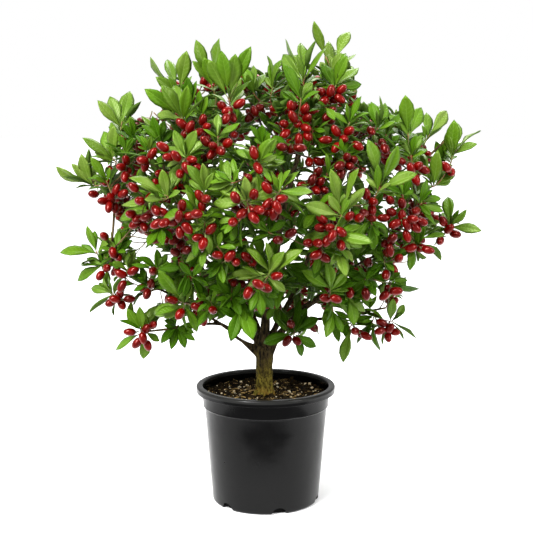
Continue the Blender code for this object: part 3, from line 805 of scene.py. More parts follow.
def make_fibres(look, rng):
    """Thin roots and fibres that lie on the soil, many of them by the trunk."""
    joined = Joined()
    for i in range(FIBRES):
        near = i < FIBRES_BY_TRUNK
        radius = rng.uniform(*FIBRES_START_BY_TRUNK) if near else FIBRES_START * math.sqrt(rng.random())
        angle = rng.uniform(0, math.tau)
        x, y = radius * math.cos(angle), radius * math.sin(angle)
        heading = angle + rng.gauss(0, 0.7) if near else rng.uniform(0, math.tau)
        thick = rng.uniform(*(FIBRE_RADII_BY_TRUNK if near else FIBRE_RADII))
        step = rng.uniform(*FIBRE_STEP)
        path = []
        for _ in range(FIBRE_STEPS):
            if math.hypot(x, y) > FIBRES_REACH or math.hypot(x - TRUNK_FOOT.x, y) < FIBRES_FROM_TRUNK:
                break
            level = soil_level(x, y) + thick + FIBRE_LIFT + FIBRE_WAVE * math.sin(len(path))
            path.append((x, y, level))
            heading += rng.gauss(0, 0.36)
            x += step * math.cos(heading)
            y += step * math.sin(heading)
        if len(path) > 4:
            radii = [thick * (1 - 0.7 * (k / (len(path) - 1)) ** 2) for k in range(len(path))]
            joined.add(*tube(path, radii, 5))
    add_piece("soil_fibres", joined.mesh("soil_fibres"), look)


# Limbs


Limb = namedtuple("Limb", "name path radii")


def smooth_path(points, start_direction, end_direction, spacing):
    """A smooth curve through the points, with a point about every spacing."""
    lengths = [(b - a).length for a, b in zip(points, points[1:])]
    tangents = [start_direction * lengths[0]]
    tangents += [(after - before) / 2 for before, after in zip(points, points[2:])]
    tangents.append(end_direction * lengths[-1])
    path = []
    for i, length in enumerate(lengths):
        count = max(2, round(length / spacing))
        first, last = points[i], points[i + 1]
        near, far = first + tangents[i] / 3, last - tangents[i + 1] / 3
        path += interpolate_bezier(first, near, far, last, count + 1)[:-1]
    return path + [points[-1]]


def twig_path(points, start_direction, end_direction, spacing):
    """The same for a twig, whose stretches differ in length, with handles in proportion to each."""
    runs = [(b - a).normalized() for a, b in zip(points, points[1:])]
    directions = [start_direction]
    directions += [(before + after).normalized() for before, after in zip(runs, runs[1:])]
    directions.append(end_direction)
    path = []
    for i, (first, last) in enumerate(zip(points, points[1:])):
        length = (last - first).length
        near = first + directions[i] * length * TWIG_HANDLE
        far = last - directions[i + 1] * length * TWIG_HANDLE
        path += interpolate_bezier(first, near, far, last, max(2, round(length / spacing)) + 1)[:-1]
    return path + [points[-1]]


def taper(start, end, count):
    return [start + (end - start) * i / (count - 1) for i in range(count)]


def point_along(limb, share):
    """The point, direction and radius at a share of a limb's length."""
    place = share * (len(limb.path) - 1)
    i = min(int(place), len(limb.path) - 2)
    rest = place - i
    first, last = limb.path[i], limb.path[i + 1]
    radius = limb.radii[i] + (limb.radii[i + 1] - limb.radii[i]) * rest
    return first.lerp(last, rest), (last - first).normalized(), radius


def trunk_limb():
    """The trunk of the solids, over its flare and up to the fork."""
    heights = [0.0, 0.25 * FLARE_HEIGHT, 0.6 * FLARE_HEIGHT, 1.4 * FLARE_HEIGHT]
    radii = [FLARE_RADIUS, 0.85 * FLARE_RADIUS, 0.77 * FLARE_RADIUS, 0.98 * TRUNK_RADIUS]
    rise = (FORK - TRUNK_FOOT).z
    heights += [0.60 * rise, 0.80 * rise, 0.93 * rise, rise]
    radii += [0.98 * TRUNK_RADIUS, 1.06 * TRUNK_RADIUS, 1.08 * TRUNK_RADIUS, 0.95 * TRUNK_RADIUS]
    path = [TRUNK_FOOT.lerp(FORK, height / rise) for height in heights]
    return Limb("trunk", path, radii)


def bough_route(mass, limbs, spacing):
    """The bough of a mass by the rule of the solids, with a point about every spacing."""
    start, along, parent_radius = point_along(limbs[mass.limb], mass.along)
    branch_radius = max(parent_radius * BRANCH_SHARE, BOUGH_TIP_RADIUS * BRANCH_LEAST)
    radius, route = FIRST_LIMBS.get(mass.name, (branch_radius, []))
    centre = Vector(mass.centre)
    via = [Vector(point) for point in route]
    approach = (centre - (via[-1] if via else start)).normalized()
    entry = centre - approach * mass.reach * ENTRY
    first = (via[0] if via else entry) - start
    leaving = (first.normalized() + along * FOLLOW_PARENT).normalized()
    path = smooth_path([start] + via + [entry - approach * STRAIGHT_END], leaving, approach, spacing)
    path.append(entry)
    return Limb(mass.name, path, taper(radius, BOUGH_TIP_RADIUS, len(path)))


def make_limbs():
    """The limbs of the solids, and the same ones with a finer path."""
    limbs = {"trunk": trunk_limb()}
    fine = {}
    for mass in MASSES:
        limbs[mass.name] = bough_route(mass, limbs, LIMB_SPACING)
        fine[mass.name] = bough_route(mass, limbs, FINE_SPACING)
    return limbs, fine


def resampled(path, radii, spacing):
    """A path and its radii with points at even spacing, and how far along each of them lies."""
    path = np.array([tuple(point) for point in path])
    lengths = np.concatenate([[0.0], np.cumsum(np.linalg.norm(np.diff(path, axis=0), axis=1))])
    at = np.linspace(0.0, lengths[-1], max(3, int(lengths[-1] / spacing) + 1))
    even = np.stack([np.interp(at, lengths, path[:, k]) for k in range(3)], axis=-1)
    return even, np.interp(at, lengths, radii), at


def strayed(path, at):
    """A path with small bends, back on its line at both ends."""
    bends = [[noise.noise(Vector((x * 22, y * 22, z * 22 + k * 9.0))) for k in range(3)] for x, y, z in path]
    ends = np.minimum(1.0, np.minimum(at / STRAY_END, (at[-1] - at) / STRAY_END))
    return path + np.array(bends) * (STRAY * ends)[:, None]


class Wood:
    """Points along the axes of all the limbs, for what has to follow or to miss them."""

    def __init__(self, limbs, fine):
        self.tubes = []
        parts = []
        for name, limb in {"trunk": limbs["trunk"], **fine}.items():
            path, radii, at = resampled(limb.path, limb.radii, WOOD_SPACING)
            if name == "trunk":
                radii = np.interp(path[:, 2], [p.z for p in limb.path], limb.radii)
            else:
                # A collar where the limb leaves its parent
                radii = radii * (1.06 + 0.45 * np.exp(-((at / (4.0 * radii[0])) ** 2)))
                path = strayed(path, at)
            # Each limb has lengths of its own, so that no two have the same furrows
            parts.append((path, *ring_frames(path), radii, at + 3.7 * len(parts)))
            self.tubes.append((name, path, radii))
        joined = [np.concatenate(values) for values in zip(*parts)]
        self.points, self.tangents, self.firsts, self.seconds, self.radii, self.lengths = joined
        self.tree = KDTree(len(self.points))
        for i, point in enumerate(self.points):
            self.tree.insert(point, i)
        self.tree.balance()

    def clear_of(self, point, margin):
        """True if the point is further than the margin from the bark of the nearest limb."""
        _, i, distance = self.tree.find(point)
        return distance > self.radii[i] + margin


def root_tubes(foot):
    """The toes of the root flare, from the trunk's foot out and down into the soil."""
    for turn, length, thick in ROOTS:
        out = np.array((math.cos(math.radians(turn)), math.sin(math.radians(turn)), 0.0))
        path = [foot + out * length * reach + UP * (rise * thick) for reach, rise in ROOT_LINE]
        yield tube(path, [thick * share for share in ROOT_RADII], ROOT_SIDES)


def web_tube(path, radii):
    """The web below a first limb, where it spreads from the trunk."""
    foot = np.array((TRUNK_FOOT.x, 0.0, path[0][2] - WEB_DROP))
    end = path[WEB_STEPS]
    web = [foot + (end - foot) * share for share in (0.0, 0.5, 1.0)]
    return tube(web, [share * radii[WEB_STEPS] for share in WEB_RADII], BOUGH_SIDES)


def wood_skin(wood):
    """The trunk and the boughs as one skin with a smooth fork."""
    joined = Joined()
    for name, path, radii in wood.tubes:
        if name == "trunk":
            path = np.concatenate([path, [path[-1] + np.array(SHOULDER)]])
            radii = np.concatenate([radii, [SHOULDER_RADIUS]])
            for points, faces in root_tubes(path[0]):
                joined.add(points, faces)
        joined.add(*tube(path, radii, TRUNK_SIDES if name == "trunk" else BOUGH_SIDES))
        if name in FIRST_LIMBS:
            joined.add(*web_tube(path, radii))
    obj = linked("bark", joined.mesh("bark"))
    remesh = obj.modifiers.new("skin", "REMESH")
    remesh.mode = "VOXEL"
    remesh.voxel_size = BARK_VOXEL
    smooth = obj.modifiers.new("smooth", "SMOOTH")
    smooth.factor = 0.5
    smooth.iterations = 5
    mesh = evaluated_mesh(obj)
    bpy.data.objects.remove(obj)
    return mesh


def vertex_values(mesh, name):
    values = np.empty(len(mesh.vertices) * 3, np.float32)
    mesh.vertices.foreach_get(name, values)
    return values.reshape(-1, 3).astype(float)


def relief(wood, place):
    """How far the bark stands out at a place, by furrows along the limb and lumps."""
    _, i, _ = wood.tree.find(place)
    away = place - wood.points[i]
    along = wood.lengths[i] + away.dot(wood.tangents[i])
    x, y = away.dot(wood.firsts[i]), away.dot(wood.seconds[i])
    furrow = noise.noise(Vector((x * 260, y * 260, along * 42)))
    lumps = noise.noise(Vector((x * 70, y * 70, along * 50 + 8.0)))
    depth = min(1.0, wood.radii[i] / FULL_RELIEF_RADIUS)
    return depth * (FURROW_DEPTH * furrow + LUMP_DEPTH * lumps) + FINE_FURROW_DEPTH * furrow


def make_bark(wood, look):
    """The trunk and the boughs, furrowed and lumpy like bark."""
    mesh = wood_skin(wood)
    places, normals = vertex_values(mesh, "co"), vertex_values(mesh, "normal")
    offsets = np.array([relief(wood, place) for place in places])
    places = places + normals * offsets[:, None]
    places[:, 2] = np.maximum(places[:, 2], TRUNK_FOOT.z - BARK_BELOW_FOOT)
    mesh.vertices.foreach_set("co", places.astype(np.float32).ravel())
    mesh.update()
    add_piece("bark", mesh, look, ["trunk"] + [f"bough_{mass.name}" for mass in MASSES])


# What the photograph shows of the crown, in its pixels


# A spray: the end of a shoot, its shade from 0 (brightest) to 4, how far it stands behind the face of the
# crown from 0 to 1, the ends of its leaves (a third value marks one seen edge on), and the middles of its
# berries
Spray = namedtuple("Spray", "tip shade deep leaves berries")
SPRAYS = [
    # Top left
    Spray((121, 127), 1, 0.0, [(99, 101), (108, 94), (128, 88), (133, 118), (142, 102, 1)], []),
    Spray((178, 94), 1, 0.0, [(166, 55), (188, 54), (151, 60, 1), (157, 79), (169, 78)], []),
    Spray((181, 117), 1, 0.0, [(146, 91), (155, 112), (163, 88), (172, 80), (189, 88), (195, 108)],
          [(182, 124), (190, 127), (196, 134), (186, 133)]),
    Spray((190, 106), 3, 0.4, [(188, 78), (197, 82), (183, 86)], []),
    Spray((211, 84), 1, 0.0, [(197, 42), (220, 42), (193, 62), (205, 60)], []),
    Spray((229, 99), 1, 0.0, [(222, 54), (236, 57), (209, 62), (241, 74), (251, 50)],
          [(222, 106), (227, 111), (239, 104), (232, 117), (226, 119)]),
    Spray((253, 92), 2, 0.3, [(244, 66), (253, 63), (265, 70), (247, 75)],
          [(259, 108), (254, 111), (250, 117)]),
    Spray((273, 86), 2, 0.2, [(268, 53, 1), (271, 60), (281, 61), (265, 75), (287, 78)], []),
    Spray((303, 78), 1, 0.0, [(285, 35, 1), (302, 38), (282, 50), (325, 50), (296, 57), (315, 41, 1)], []),
    Spray((331, 71), 0, 0.0, [(313, 24), (351, 27), (341, 54), (357, 51, 1), (320, 60), (330, 37),
          (337, 44)], []),
    Spray((262, 144), 4, 0.7, [(250, 127), (262, 126), (270, 134), (254, 137)], []),
    Spray((301, 99), 2, 0.0, [(283, 66), (291, 70), (313, 80), (281, 90), (319, 92)],
          [(291, 106), (293, 117), (305, 109), (307, 118), (298, 124), (284, 124), (306, 128), (285, 134),
           (308, 136), (299, 140)]),
    Spray((336, 85), 2, 0.0, [(360, 65), (363, 82), (346, 58), (315, 83), (322, 62)],
          [(322, 92), (331, 91), (341, 90), (324, 101), (333, 99), (340, 99)]),
    # Upper right
    Spray((350, 122), 2, 0.1, [(360, 97), (346, 104), (369, 113), (333, 113), (362, 130)],
          [(349, 131), (344, 139), (336, 131), (326, 140), (336, 148), (358, 146)]),
    Spray((378, 128), 3, 0.1, [(388, 100), (372, 100), (362, 124), (395, 122), (380, 97, 1)], [(371, 131)]),
    Spray((408, 134), 2, 0.0, [(403, 98), (420, 108), (390, 112), (399, 122), (425, 104, 1)], []),
    Spray((427, 138), 1, 0.0, [(429, 110), (450, 108), (440, 128, 1), (421, 126)], []),
    Spray((453, 153), 1, 0.0, [(459, 119), (484, 127, 1), (475, 145), (451, 122), (444, 134, 1),
          (457, 138)], []),
    Spray((443, 160), 3, 0.3, [(434, 142), (446, 137, 1)], []),
    Spray((432, 187), 1, 0.0, [(419, 149), (435, 152), (458, 167), (453, 180), (427, 163)],
          [(446, 167), (451, 172)]),
    Spray((380, 187), 1, 0.0, [(367, 140), (397, 147), (416, 174), (366, 178), (398, 195), (390, 184),
          (377, 165)], [(373, 202), (366, 194), (372, 210)]),
    Spray((386, 134), 3, 0.3, [(372, 133), (395, 128), (385, 118)], [(382, 143), (385, 149)]),
    Spray((422, 203), 2, 0.1, [(443, 197), (445, 211), (427, 192), (408, 192), (430, 216)], [(416, 211)]),
    Spray((450, 226), 2, 0.0, [(450, 194), (465, 210), (479, 231), (440, 212, 1), (436, 232)],
          [(449, 229), (455, 234), (443, 221), (440, 241)]),
    Spray((403, 194), 3, 0.2, [(386, 186), (415, 191), (410, 178), (391, 196)],
          [(402, 203), (390, 200), (391, 212), (402, 215), (395, 224), (407, 225), (407, 236), (416, 228),
           (422, 222), (384, 218), (413, 219)]),
    Spray((411, 155), 2, 0.2, [(400, 139), (415, 136), (394, 150), (424, 152)],
          [(400, 161), (418, 166), (424, 170), (411, 169), (407, 183), (416, 180)]),
    # Centre right
    Spray((342, 212), 0, 0.0, [(330, 170), (357, 170), (366, 186), (328, 196), (304, 205), (350, 196),
          (322, 213)],
          [(322, 219), (320, 228), (330, 228), (341, 232), (327, 241), (341, 245), (332, 236), (350, 216),
           (359, 218)]),
    Spray((337, 233), 1, 0.0, [(301, 239), (371, 243), (362, 224), (352, 250)], [(308, 243), (318, 243)]),
    Spray((372, 225), 3, 0.2, [(375, 236), (386, 230), (360, 232)], [(371, 217), (364, 213)]),
    Spray((345, 152), 3, 0.3, [(332, 145), (356, 150), (340, 139), (365, 160)],
          [(341, 174), (339, 166), (349, 166), (353, 160), (347, 157)]),
    Spray((325, 107), 3, 0.3, [(316, 119), (334, 122), (318, 104)], [(327, 117), (332, 111)]),
    Spray((385, 237), 4, 0.3, [(402, 246), (370, 240), (378, 252)], [(385, 244), (392, 239), (390, 250)]),
    Spray((422, 238), 2, 0.1, [(447, 234), (409, 233), (412, 226)], []),
    # Centre
    Spray((260, 162), 1, 0.0, [(235, 148), (277, 139), (252, 149), (278, 155), (276, 180)],
          [(258, 168), (254, 153)]),
    Spray((247, 200), 0, 0.0, [(212, 203), (228, 203), (216, 181), (262, 172), (280, 191), (265, 204),
          (245, 177)],
          [(235, 197), (254, 194), (242, 214), (251, 210), (254, 218), (259, 210), (233, 222)]),
    Spray((231, 183), 1, 0.0, [(226, 158), (214, 172), (239, 170), (204, 186), (240, 190)], [(248, 178)]),
    Spray((281, 189), 1, 0.0, [(290, 170), (299, 172), (312, 193), (272, 176), (300, 201)],
          [(267, 188), (281, 199), (274, 213), (268, 204), (277, 207)]),
    Spray((218, 136), 1, 0.1, [(238, 125), (218, 112), (204, 130), (229, 132), (207, 152)],
          [(205, 141), (213, 146), (212, 154), (221, 151), (228, 143)]),
    Spray((201, 113), 2, 0.2, [(200, 92), (215, 110), (189, 106), (208, 98)],
          [(203, 120), (198, 133), (206, 136), (207, 127)]),
    Spray((205, 190), 1, 0.1, [(188, 166), (203, 164), (214, 173), (188, 178), (216, 188)],
          [(200, 196), (206, 199), (202, 206)]),
    Spray((205, 221), 1, 0.1, [(196, 232), (207, 234), (216, 220), (192, 219)],
          [(211, 229), (198, 238), (203, 244)]),
    Spray((238, 222), 2, 0.1, [(231, 242), (217, 222), (224, 234)], []),
    Spray((291, 143), 3, 0.4, [(275, 155), (305, 155), (288, 160)], [(282, 147), (292, 149), (300, 148)]),
    Spray((313, 128), 3, 0.5, [(300, 140), (325, 132), (314, 144)], [(318, 172), (312, 180)]),
    Spray((222, 240), 3, 0.3, [(206, 236), (240, 246), (236, 232)], []),
    Spray((268, 232), 3, 0.4, [(250, 222), (285, 222), (270, 215), (252, 240), (288, 240)],
          [(291, 233), (278, 240)]),
    # Left
    Spray((112, 157), 1, 0.0, [(101, 129), (116, 127), (85, 139), (97, 147), (121, 137), (96, 153)], []),
    Spray((91, 185), 0, 0.0, [(57, 168, 1), (73, 164), (83, 155), (90, 149, 1), (66, 177, 1), (76, 188, 1),
          (81, 165)], [(93, 194)]),
    Spray((106, 180), 2, 0.1, [(92, 158), (100, 169), (111, 168), (96, 178)],
          [(103, 201), (111, 198), (109, 207), (115, 208), (116, 190), (123, 194)]),
    Spray((126, 152), 3, 0.1, [(121, 136), (134, 138), (112, 147), (136, 152)],
          [(126, 160), (121, 167), (128, 171), (125, 177)]),
    Spray((150, 149), 2, 0.1, [(141, 136), (152, 137), (162, 149), (139, 148)],
          [(152, 154), (142, 160), (145, 166)]),
    Spray((161, 141), 4, 0.3, [(153, 117), (164, 119), (143, 126), (172, 128)], []),
    Spray((134, 138), 3, 0.3, [(131, 117), (143, 124), (124, 124)], []),
    Spray((187, 158), 1, 0.0, [(166, 144), (197, 132), (186, 136), (165, 166), (203, 150)],
          [(169, 157), (176, 156), (163, 147), (192, 160), (187, 168), (180, 174), (196, 167)]),
    Spray((169, 197), 0, 0.0, [(131, 178), (163, 170), (182, 160), (119, 204), (181, 191), (172, 176),
          (145, 200)], [(156, 211), (162, 212), (140, 201), (133, 187)]),
    Spray((196, 208), 1, 0.0, [(187, 192), (199, 188), (160, 218), (204, 214)],
          [(182, 206), (179, 216), (190, 216), (197, 214), (172, 222), (187, 228), (180, 233), (164, 223),
           (157, 224)]),
    Spray((150, 210), 2, 0.1, [(117, 219), (131, 207), (152, 190), (163, 203)],
          [(131, 214), (138, 219), (146, 217), (135, 224), (144, 227), (150, 214)]),
    Spray((161, 226), 3, 0.3, [(150, 232), (173, 240), (149, 246), (165, 246)], [(157, 239), (161, 233)]),
    # Lower left
    Spray((96, 251), 2, 0.0, [(88, 226), (93, 230), (62, 252), (112, 238), (80, 244)], []),
    Spray((103, 265), 2, 0.0, [(74, 281), (78, 265, 1), (108, 249), (85, 258), (120, 262)],
          [(107, 268), (100, 276)]),
    Spray((118, 252), 3, 0.1, [(118, 229), (130, 228, 1), (108, 240), (133, 240), (127, 252)],
          [(113, 253), (118, 257), (104, 236)]),
    Spray((112, 293), 0, 0.0, [(88, 288), (87, 313, 1), (104, 278), (119, 279), (124, 290)],
          [(110, 303), (120, 294), (122, 305), (130, 299), (115, 299)]),
    Spray((128, 268), 1, 0.1, [(122, 252), (134, 250), (114, 262), (140, 262), (117, 278)],
          [(133, 271), (121, 274), (122, 286)]),
    Spray((158, 268), 4, 0.2, [(141, 256), (158, 249), (167, 254), (181, 268)], [(153, 271)]),
    Spray((147, 284), 4, 0.3, [(134, 291), (158, 280), (139, 277)], [(151, 284), (147, 294)]),
    Spray((184, 303), 1, 0.0, [(159, 270), (178, 273), (191, 284), (150, 315), (163, 319), (196, 329),
          (171, 282)], [(172, 300), (180, 314), (197, 307)]),
    Spray((141, 331), 2, 0.0, [(128, 308), (141, 306), (157, 305), (112, 351), (142, 361), (159, 342)],
          [(130, 332), (146, 329), (143, 338), (137, 343), (148, 346), (153, 325)]),
    Spray((179, 325), 4, 0.2, [(162, 342), (172, 349), (186, 348), (196, 340), (165, 325)], [(171, 331)]),
    Spray((204, 248), 1, 0.1, [(184, 262), (189, 240), (196, 232), (202, 268)], []),
    Spray((217, 246), 2, 0.1, [(201, 257), (237, 248), (222, 232), (208, 242)],
          [(217, 255), (230, 256), (236, 262)]),
    Spray((221, 263), 3, 0.2, [(224, 284), (212, 277), (236, 272), (206, 268)], [(252, 262), (246, 257)]),
    Spray((210, 301), 3, 0.2, [(197, 312), (223, 317), (196, 294), (219, 288), (209, 320)], [(213, 310)]),
    Spray((231, 300), 4, 0.2, [(240, 282), (222, 288), (245, 300), (216, 300)], [(234, 283)]),
    Spray((193, 278), 4, 0.3, [(180, 262), (204, 262), (207, 282)], [(175, 252), (186, 250)]),
    # Lower middle and right
    Spray((270, 272), 0, 0.0, [(247, 248), (267, 242), (230, 274), (247, 286), (302, 249), (284, 251),
          (286, 292)], [(277, 276), (266, 288), (258, 284), (248, 293), (254, 288)]),
    Spray((259, 290), 3, 0.2, [(262, 316), (250, 311), (275, 310)], []),
    Spray((242, 305), 4, 0.2, [(253, 339), (231, 341), (243, 326)], []),
    Spray((295, 332), 4, 0.2, [(300, 298), (320, 318), (276, 315), (262, 344), (318, 348), (303, 358),
          (308, 308)], [(287, 341), (297, 341), (291, 324)]),
    Spray((330, 288), 2, 0.1, [(301, 270), (314, 268), (326, 261), (348, 273), (350, 290)],
          [(325, 298), (336, 299)]),
    Spray((333, 312), 3, 0.1, [(325, 337), (342, 333), (348, 318), (334, 330), (320, 306)], []),
    Spray((322, 246), 3, 0.2, [(307, 252), (336, 262), (330, 244)], [(325, 258), (316, 255), (319, 249)]),
    Spray((339, 247), 0, 0.1, [(345, 277), (353, 262), (330, 266)], []),
    Spray((351, 325), 1, 0.0, [(342, 362), (381, 326), (333, 318), (362, 312)],
          [(355, 331), (361, 334), (366, 336)]),
    Spray((347, 297), 2, 0.1, [(367, 312), (376, 300), (350, 280), (336, 306)], [(350, 293)]),
    Spray((367, 280), 4, 0.2, [(375, 296), (369, 301), (379, 288), (357, 268)], [(368, 262), (366, 294)]),
    Spray((384, 263), 3, 0.1, [(372, 253), (377, 246), (393, 271), (395, 260)],
          [(387, 252), (399, 258), (386, 275)]),
    Spray((391, 282), 3, 0.0, [(409, 280), (422, 290, 1), (403, 294, 1), (400, 272), (378, 276)],
          [(388, 290), (396, 291), (384, 296)]),
    Spray((393, 321), 1, 0.0, [(406, 304), (419, 339, 1), (405, 340, 1), (392, 298), (383, 346, 1)],
          [(382, 323), (390, 328), (395, 332), (388, 337), (380, 331)]),
    Spray((372, 323), 3, 0.1, [(382, 353, 1), (371, 339, 1), (357, 345, 1), (361, 322)], []),
    Spray((412, 243), 2, 0.0, [(421, 262, 1), (432, 261, 1), (446, 259, 1), (411, 271), (401, 236)],
          [(411, 248), (421, 248), (428, 250)]),
]

# The crown's filled part, round which only the ends of leaves stand out
OUTLINE = [
    (70, 172), (84, 150), (97, 137), (108, 122), (122, 108), (136, 120), (150, 108), (158, 92), (166, 74),
    (184, 70), (194, 74), (200, 60), (216, 56), (228, 62), (246, 60), (262, 72), (276, 66), (288, 55),
    (300, 48), (312, 52), (320, 40), (332, 50), (346, 42), (350, 58), (355, 72), (356, 90), (362, 101),
    (384, 104), (400, 110), (412, 116), (426, 118), (440, 120), (456, 128), (468, 136), (462, 150),
    (450, 165), (448, 185), (448, 200), (462, 205), (466, 225), (455, 238), (440, 242), (430, 250),
    (420, 262), (410, 275), (404, 290), (405, 310), (400, 330), (390, 338), (370, 340), (352, 352),
    (338, 345), (322, 335), (306, 345), (290, 340), (275, 320), (256, 320), (238, 332), (228, 318),
    (214, 318), (200, 332), (184, 342), (168, 340), (156, 336), (146, 350), (132, 342), (118, 340),
    (116, 320), (100, 308), (92, 292), (100, 280), (84, 272), (74, 256), (86, 244), (92, 232), (106, 236),
    (116, 224), (112, 212), (98, 206), (92, 196), (86, 188), (70, 182),
]

# Sky that shows through the crown: its middle and radius
SKY = [
    (137, 240, 9), (149, 300, 8), (316, 310, 7), (417, 127, 7), (434, 144, 6), (153, 254, 6), (287, 304, 5),
    (244, 335, 5), (256, 322, 5), (186, 74, 4), (318, 324, 5), (378, 338, 5), (387, 311, 5), (203, 93, 4),
    (379, 307, 4), (196, 78, 4), (101, 170, 4), (315, 48, 4), (93, 252, 4), (437, 213, 4), (162, 332, 5),
    (168, 259, 4), (166, 125, 4), (137, 320, 4), (229, 320, 4), (132, 290, 4), (338, 312, 4), (208, 265, 4),
    (306, 176, 4), (287, 247, 4), (222, 62, 4), (150, 109, 9), (401, 264, 7), (133, 108, 6), (157, 72, 6),
    (287, 47, 6), (158, 296, 7), (440, 191, 6), (422, 256, 6), (407, 334, 6), (311, 333, 5), (444, 202, 5),
]

# Spots where further leaves close the crown
CLOSED = [
    (370, 303), (409, 280), (302, 42), (108, 277), (460, 123), (221, 317), (370, 99), (115, 345),
    (335, 332), (244, 140), (404, 313), (347, 29), (85, 238), (298, 258), (130, 284), (347, 328), (90, 289),
    (153, 341), (157, 109), (167, 57), (133, 307), (386, 101), (356, 65), (257, 316), (152, 297),
    (414, 283), (371, 306),
]

# Boughs that show between the leaves, and from which to which pixel row
BARE_BOUGHS = [("top_front", 146, 178), ("top_peak", 158, 188), ("right_mid", 242, 264)]

# Where the crown bulges to the front: its middle and its spread, with the bulge in metres
FACE_FRONT = (242, 205)
FACE_FRONT_SPREAD = 115.0
FACE_FRONT_BULGE = 0.044

# How close in pixels another thing may come to a berry or bough that shows, in front of it
SHOWN_ROOM = 4.2


# Growth


# The crown as an egg: its middle, and its reach to the side, to the front and up
CROWN_MIDDLE = np.array((0.005, 0.010, 0.555))
CROWN_REACH = np.array((0.370, 0.330, 0.300))
# The measured shoots end on a smaller egg, or behind it by a share of this depth
FACE_SCALE = 0.84
FACE_DEPTH = 0.09

# Twigs: the spacing of their points, the radius of one that carries only its own shoot, the power of the
# number of shoots by which it thickens, the thickest, and the shortest
TWIG_SPACING = 0.006
TWIG_RADIUS = 0.00098
TWIG_POWER = 0.42
THICKEST_TWIG = 0.0026
SHORTEST_TWIG = 0.012
# Points at a twig's end that no other twig starts from
TWIG_END_POINTS = 4

# The room round a shoot of the solids' rule, and that of a filling one in the outer crown and further in
RULE_ROOM = 0.036
OUTER_ROOM = 0.042
INNER_ROOM = 0.050
OUTER_SHARE = 0.70
# How far behind the measured shoots the others stay, and how far from the bark
RULE_BEHIND = 0.050
RULE_FROM_WOOD = 0.004
FILLING_BEHIND = 0.045
FILLING_FROM_WOOD = 0.006
# How often a filling shoot is tried, and how far it may stand from wood or another twig
FILLING_ATTEMPTS = 40000
FILLING_REACH = 0.11
# How far a shoot of the solids' rule ends within its mass's reach, as a share of a leaf
ROSETTE_SHARE = 0.60

# A measured twig runs by a point this far behind the middle of its berries, at least so far from its end. The
# line from there counts in its heading if the gap is more than the least one
VIA_BEHIND = 0.012
VIA_APART = 0.020
LEAST_GAP = 0.009
# The same point for a twig without berries: how far before its end, and how far behind
BARE_APART = 0.030
BARE_BEHIND = 0.010

# Radii of stems and side shoots, the sides of their tubes, and the points of a twig's young end
STEM_RADIUS = 0.0023
STEM_TAPER = 0.00012
STEM_SIDES = 8
SIDE_SHOOT_RADII = [0.0010, 0.0009, 0.0008]
TWIG_SIDES = 6
YOUNG_POINTS = 5

# The bare share of a first limb, and of a bough further on, from which no twig grows
FIRST_LIMB_BARE = 0.35
BOUGH_BARE = 0.12
# The cost of a twig's run for its length: less where it runs ahead, and more where it comes in aslant, turns
# round, or starts further out than it ends, as seen from a spot below the heart
RUN_COST = 1.25
AHEAD_SAVING = 0.45
ASLANT_COST = 0.70
ASLANT_FROM = 0.50
ROUND_COST = 0.60
OUTER_COST = 2.0
BELOW_HEART = 0.12
# How much a twig follows the wood it leaves at most, and the share of it that its direction doesn't change
TWIG_FOLLOW = 0.7
FOLLOW_FIXED = 0.25
# How much a twig's last run counts in its heading at the end: where the two stand square, and how much less
# where they agree
ARRIVE_SQUARE = 1.2
ARRIVE_LESS = 0.8
# How much thicker a twig is at its start
TWIG_FLARE = 1.25

# A shoot's heading: the weights of its direction in the mass and of the way out of the crown, its lift above
# and below a height, and how much it strays
HEADING_DIRECTION = 0.45
HEADING_OUTWARDS = 0.70
LIFT_HEIGHT = 0.42
LIFT_ABOVE = 0.60
LIFT_BELOW = 0.20
HEADING_STRAY = 0.22
# A measured shoot's heading: the weight of its leaves beside its berries, and how much it turns to the viewer
# and up
HEADING_LEAVES = 0.35
HEADING_TO_VIEWER = 0.30
HEADING_UP = 0.15

# A filling shoot's place between the crown's middle and its reach
FILLING_SHARES = (0.45, 0.88)


def pixel_ray(u, v):
    """The direction of a pixel's ray, one metre long along the camera's axis."""
    across, up = (u - FRAME_PIXELS / 2) / FOCAL_PIXELS, (FRAME_PIXELS / 2 - v) / FOCAL_PIXELS
    pitch_cos, pitch_sin = math.cos(CAMERA_PITCH), math.sin(CAMERA_PITCH)
    return np.array((across, pitch_cos + up * pitch_sin, up * pitch_cos - pitch_sin))


def face_depth(u, v):
    """The depth at which a pixel's ray meets the crown's face, or passes nearest to its middle."""
    reach = CROWN_REACH * FACE_SCALE
    start = (np.array(CAMERA_AT) - CROWN_MIDDLE) / reach
    run = pixel_ray(u, v) / reach
    a, b, c = run @ run, start @ run, start @ start - 1
    off = ((u - FACE_FRONT[0]) ** 2 + (v - FACE_FRONT[1]) ** 2) / FACE_FRONT_SPREAD ** 2
    return (-b - math.sqrt(max(0.0, b * b - a * c))) / a - FACE_FRONT_BULGE * max(0.0, 1.0 - off)


def at_pixel(u, v, depth):
    return np.array(CAMERA_AT) + pixel_ray(u, v) * depth


def to_pixels(points):
    """Where points show in the photograph's frame, and how deep."""
    away = np.asarray(points) - np.array(CAMERA_AT)
    pitch_cos, pitch_sin = math.cos(CAMERA_PITCH), math.sin(CAMERA_PITCH)
    depth = away[..., 1] * pitch_cos - away[..., 2] * pitch_sin
    up = away[..., 1] * pitch_sin + away[..., 2] * pitch_cos
    u = FRAME_PIXELS / 2 + FOCAL_PIXELS * away[..., 0] / depth
    v = FRAME_PIXELS / 2 - FOCAL_PIXELS * up / depth
    return np.stack([u, v], axis=-1), depth


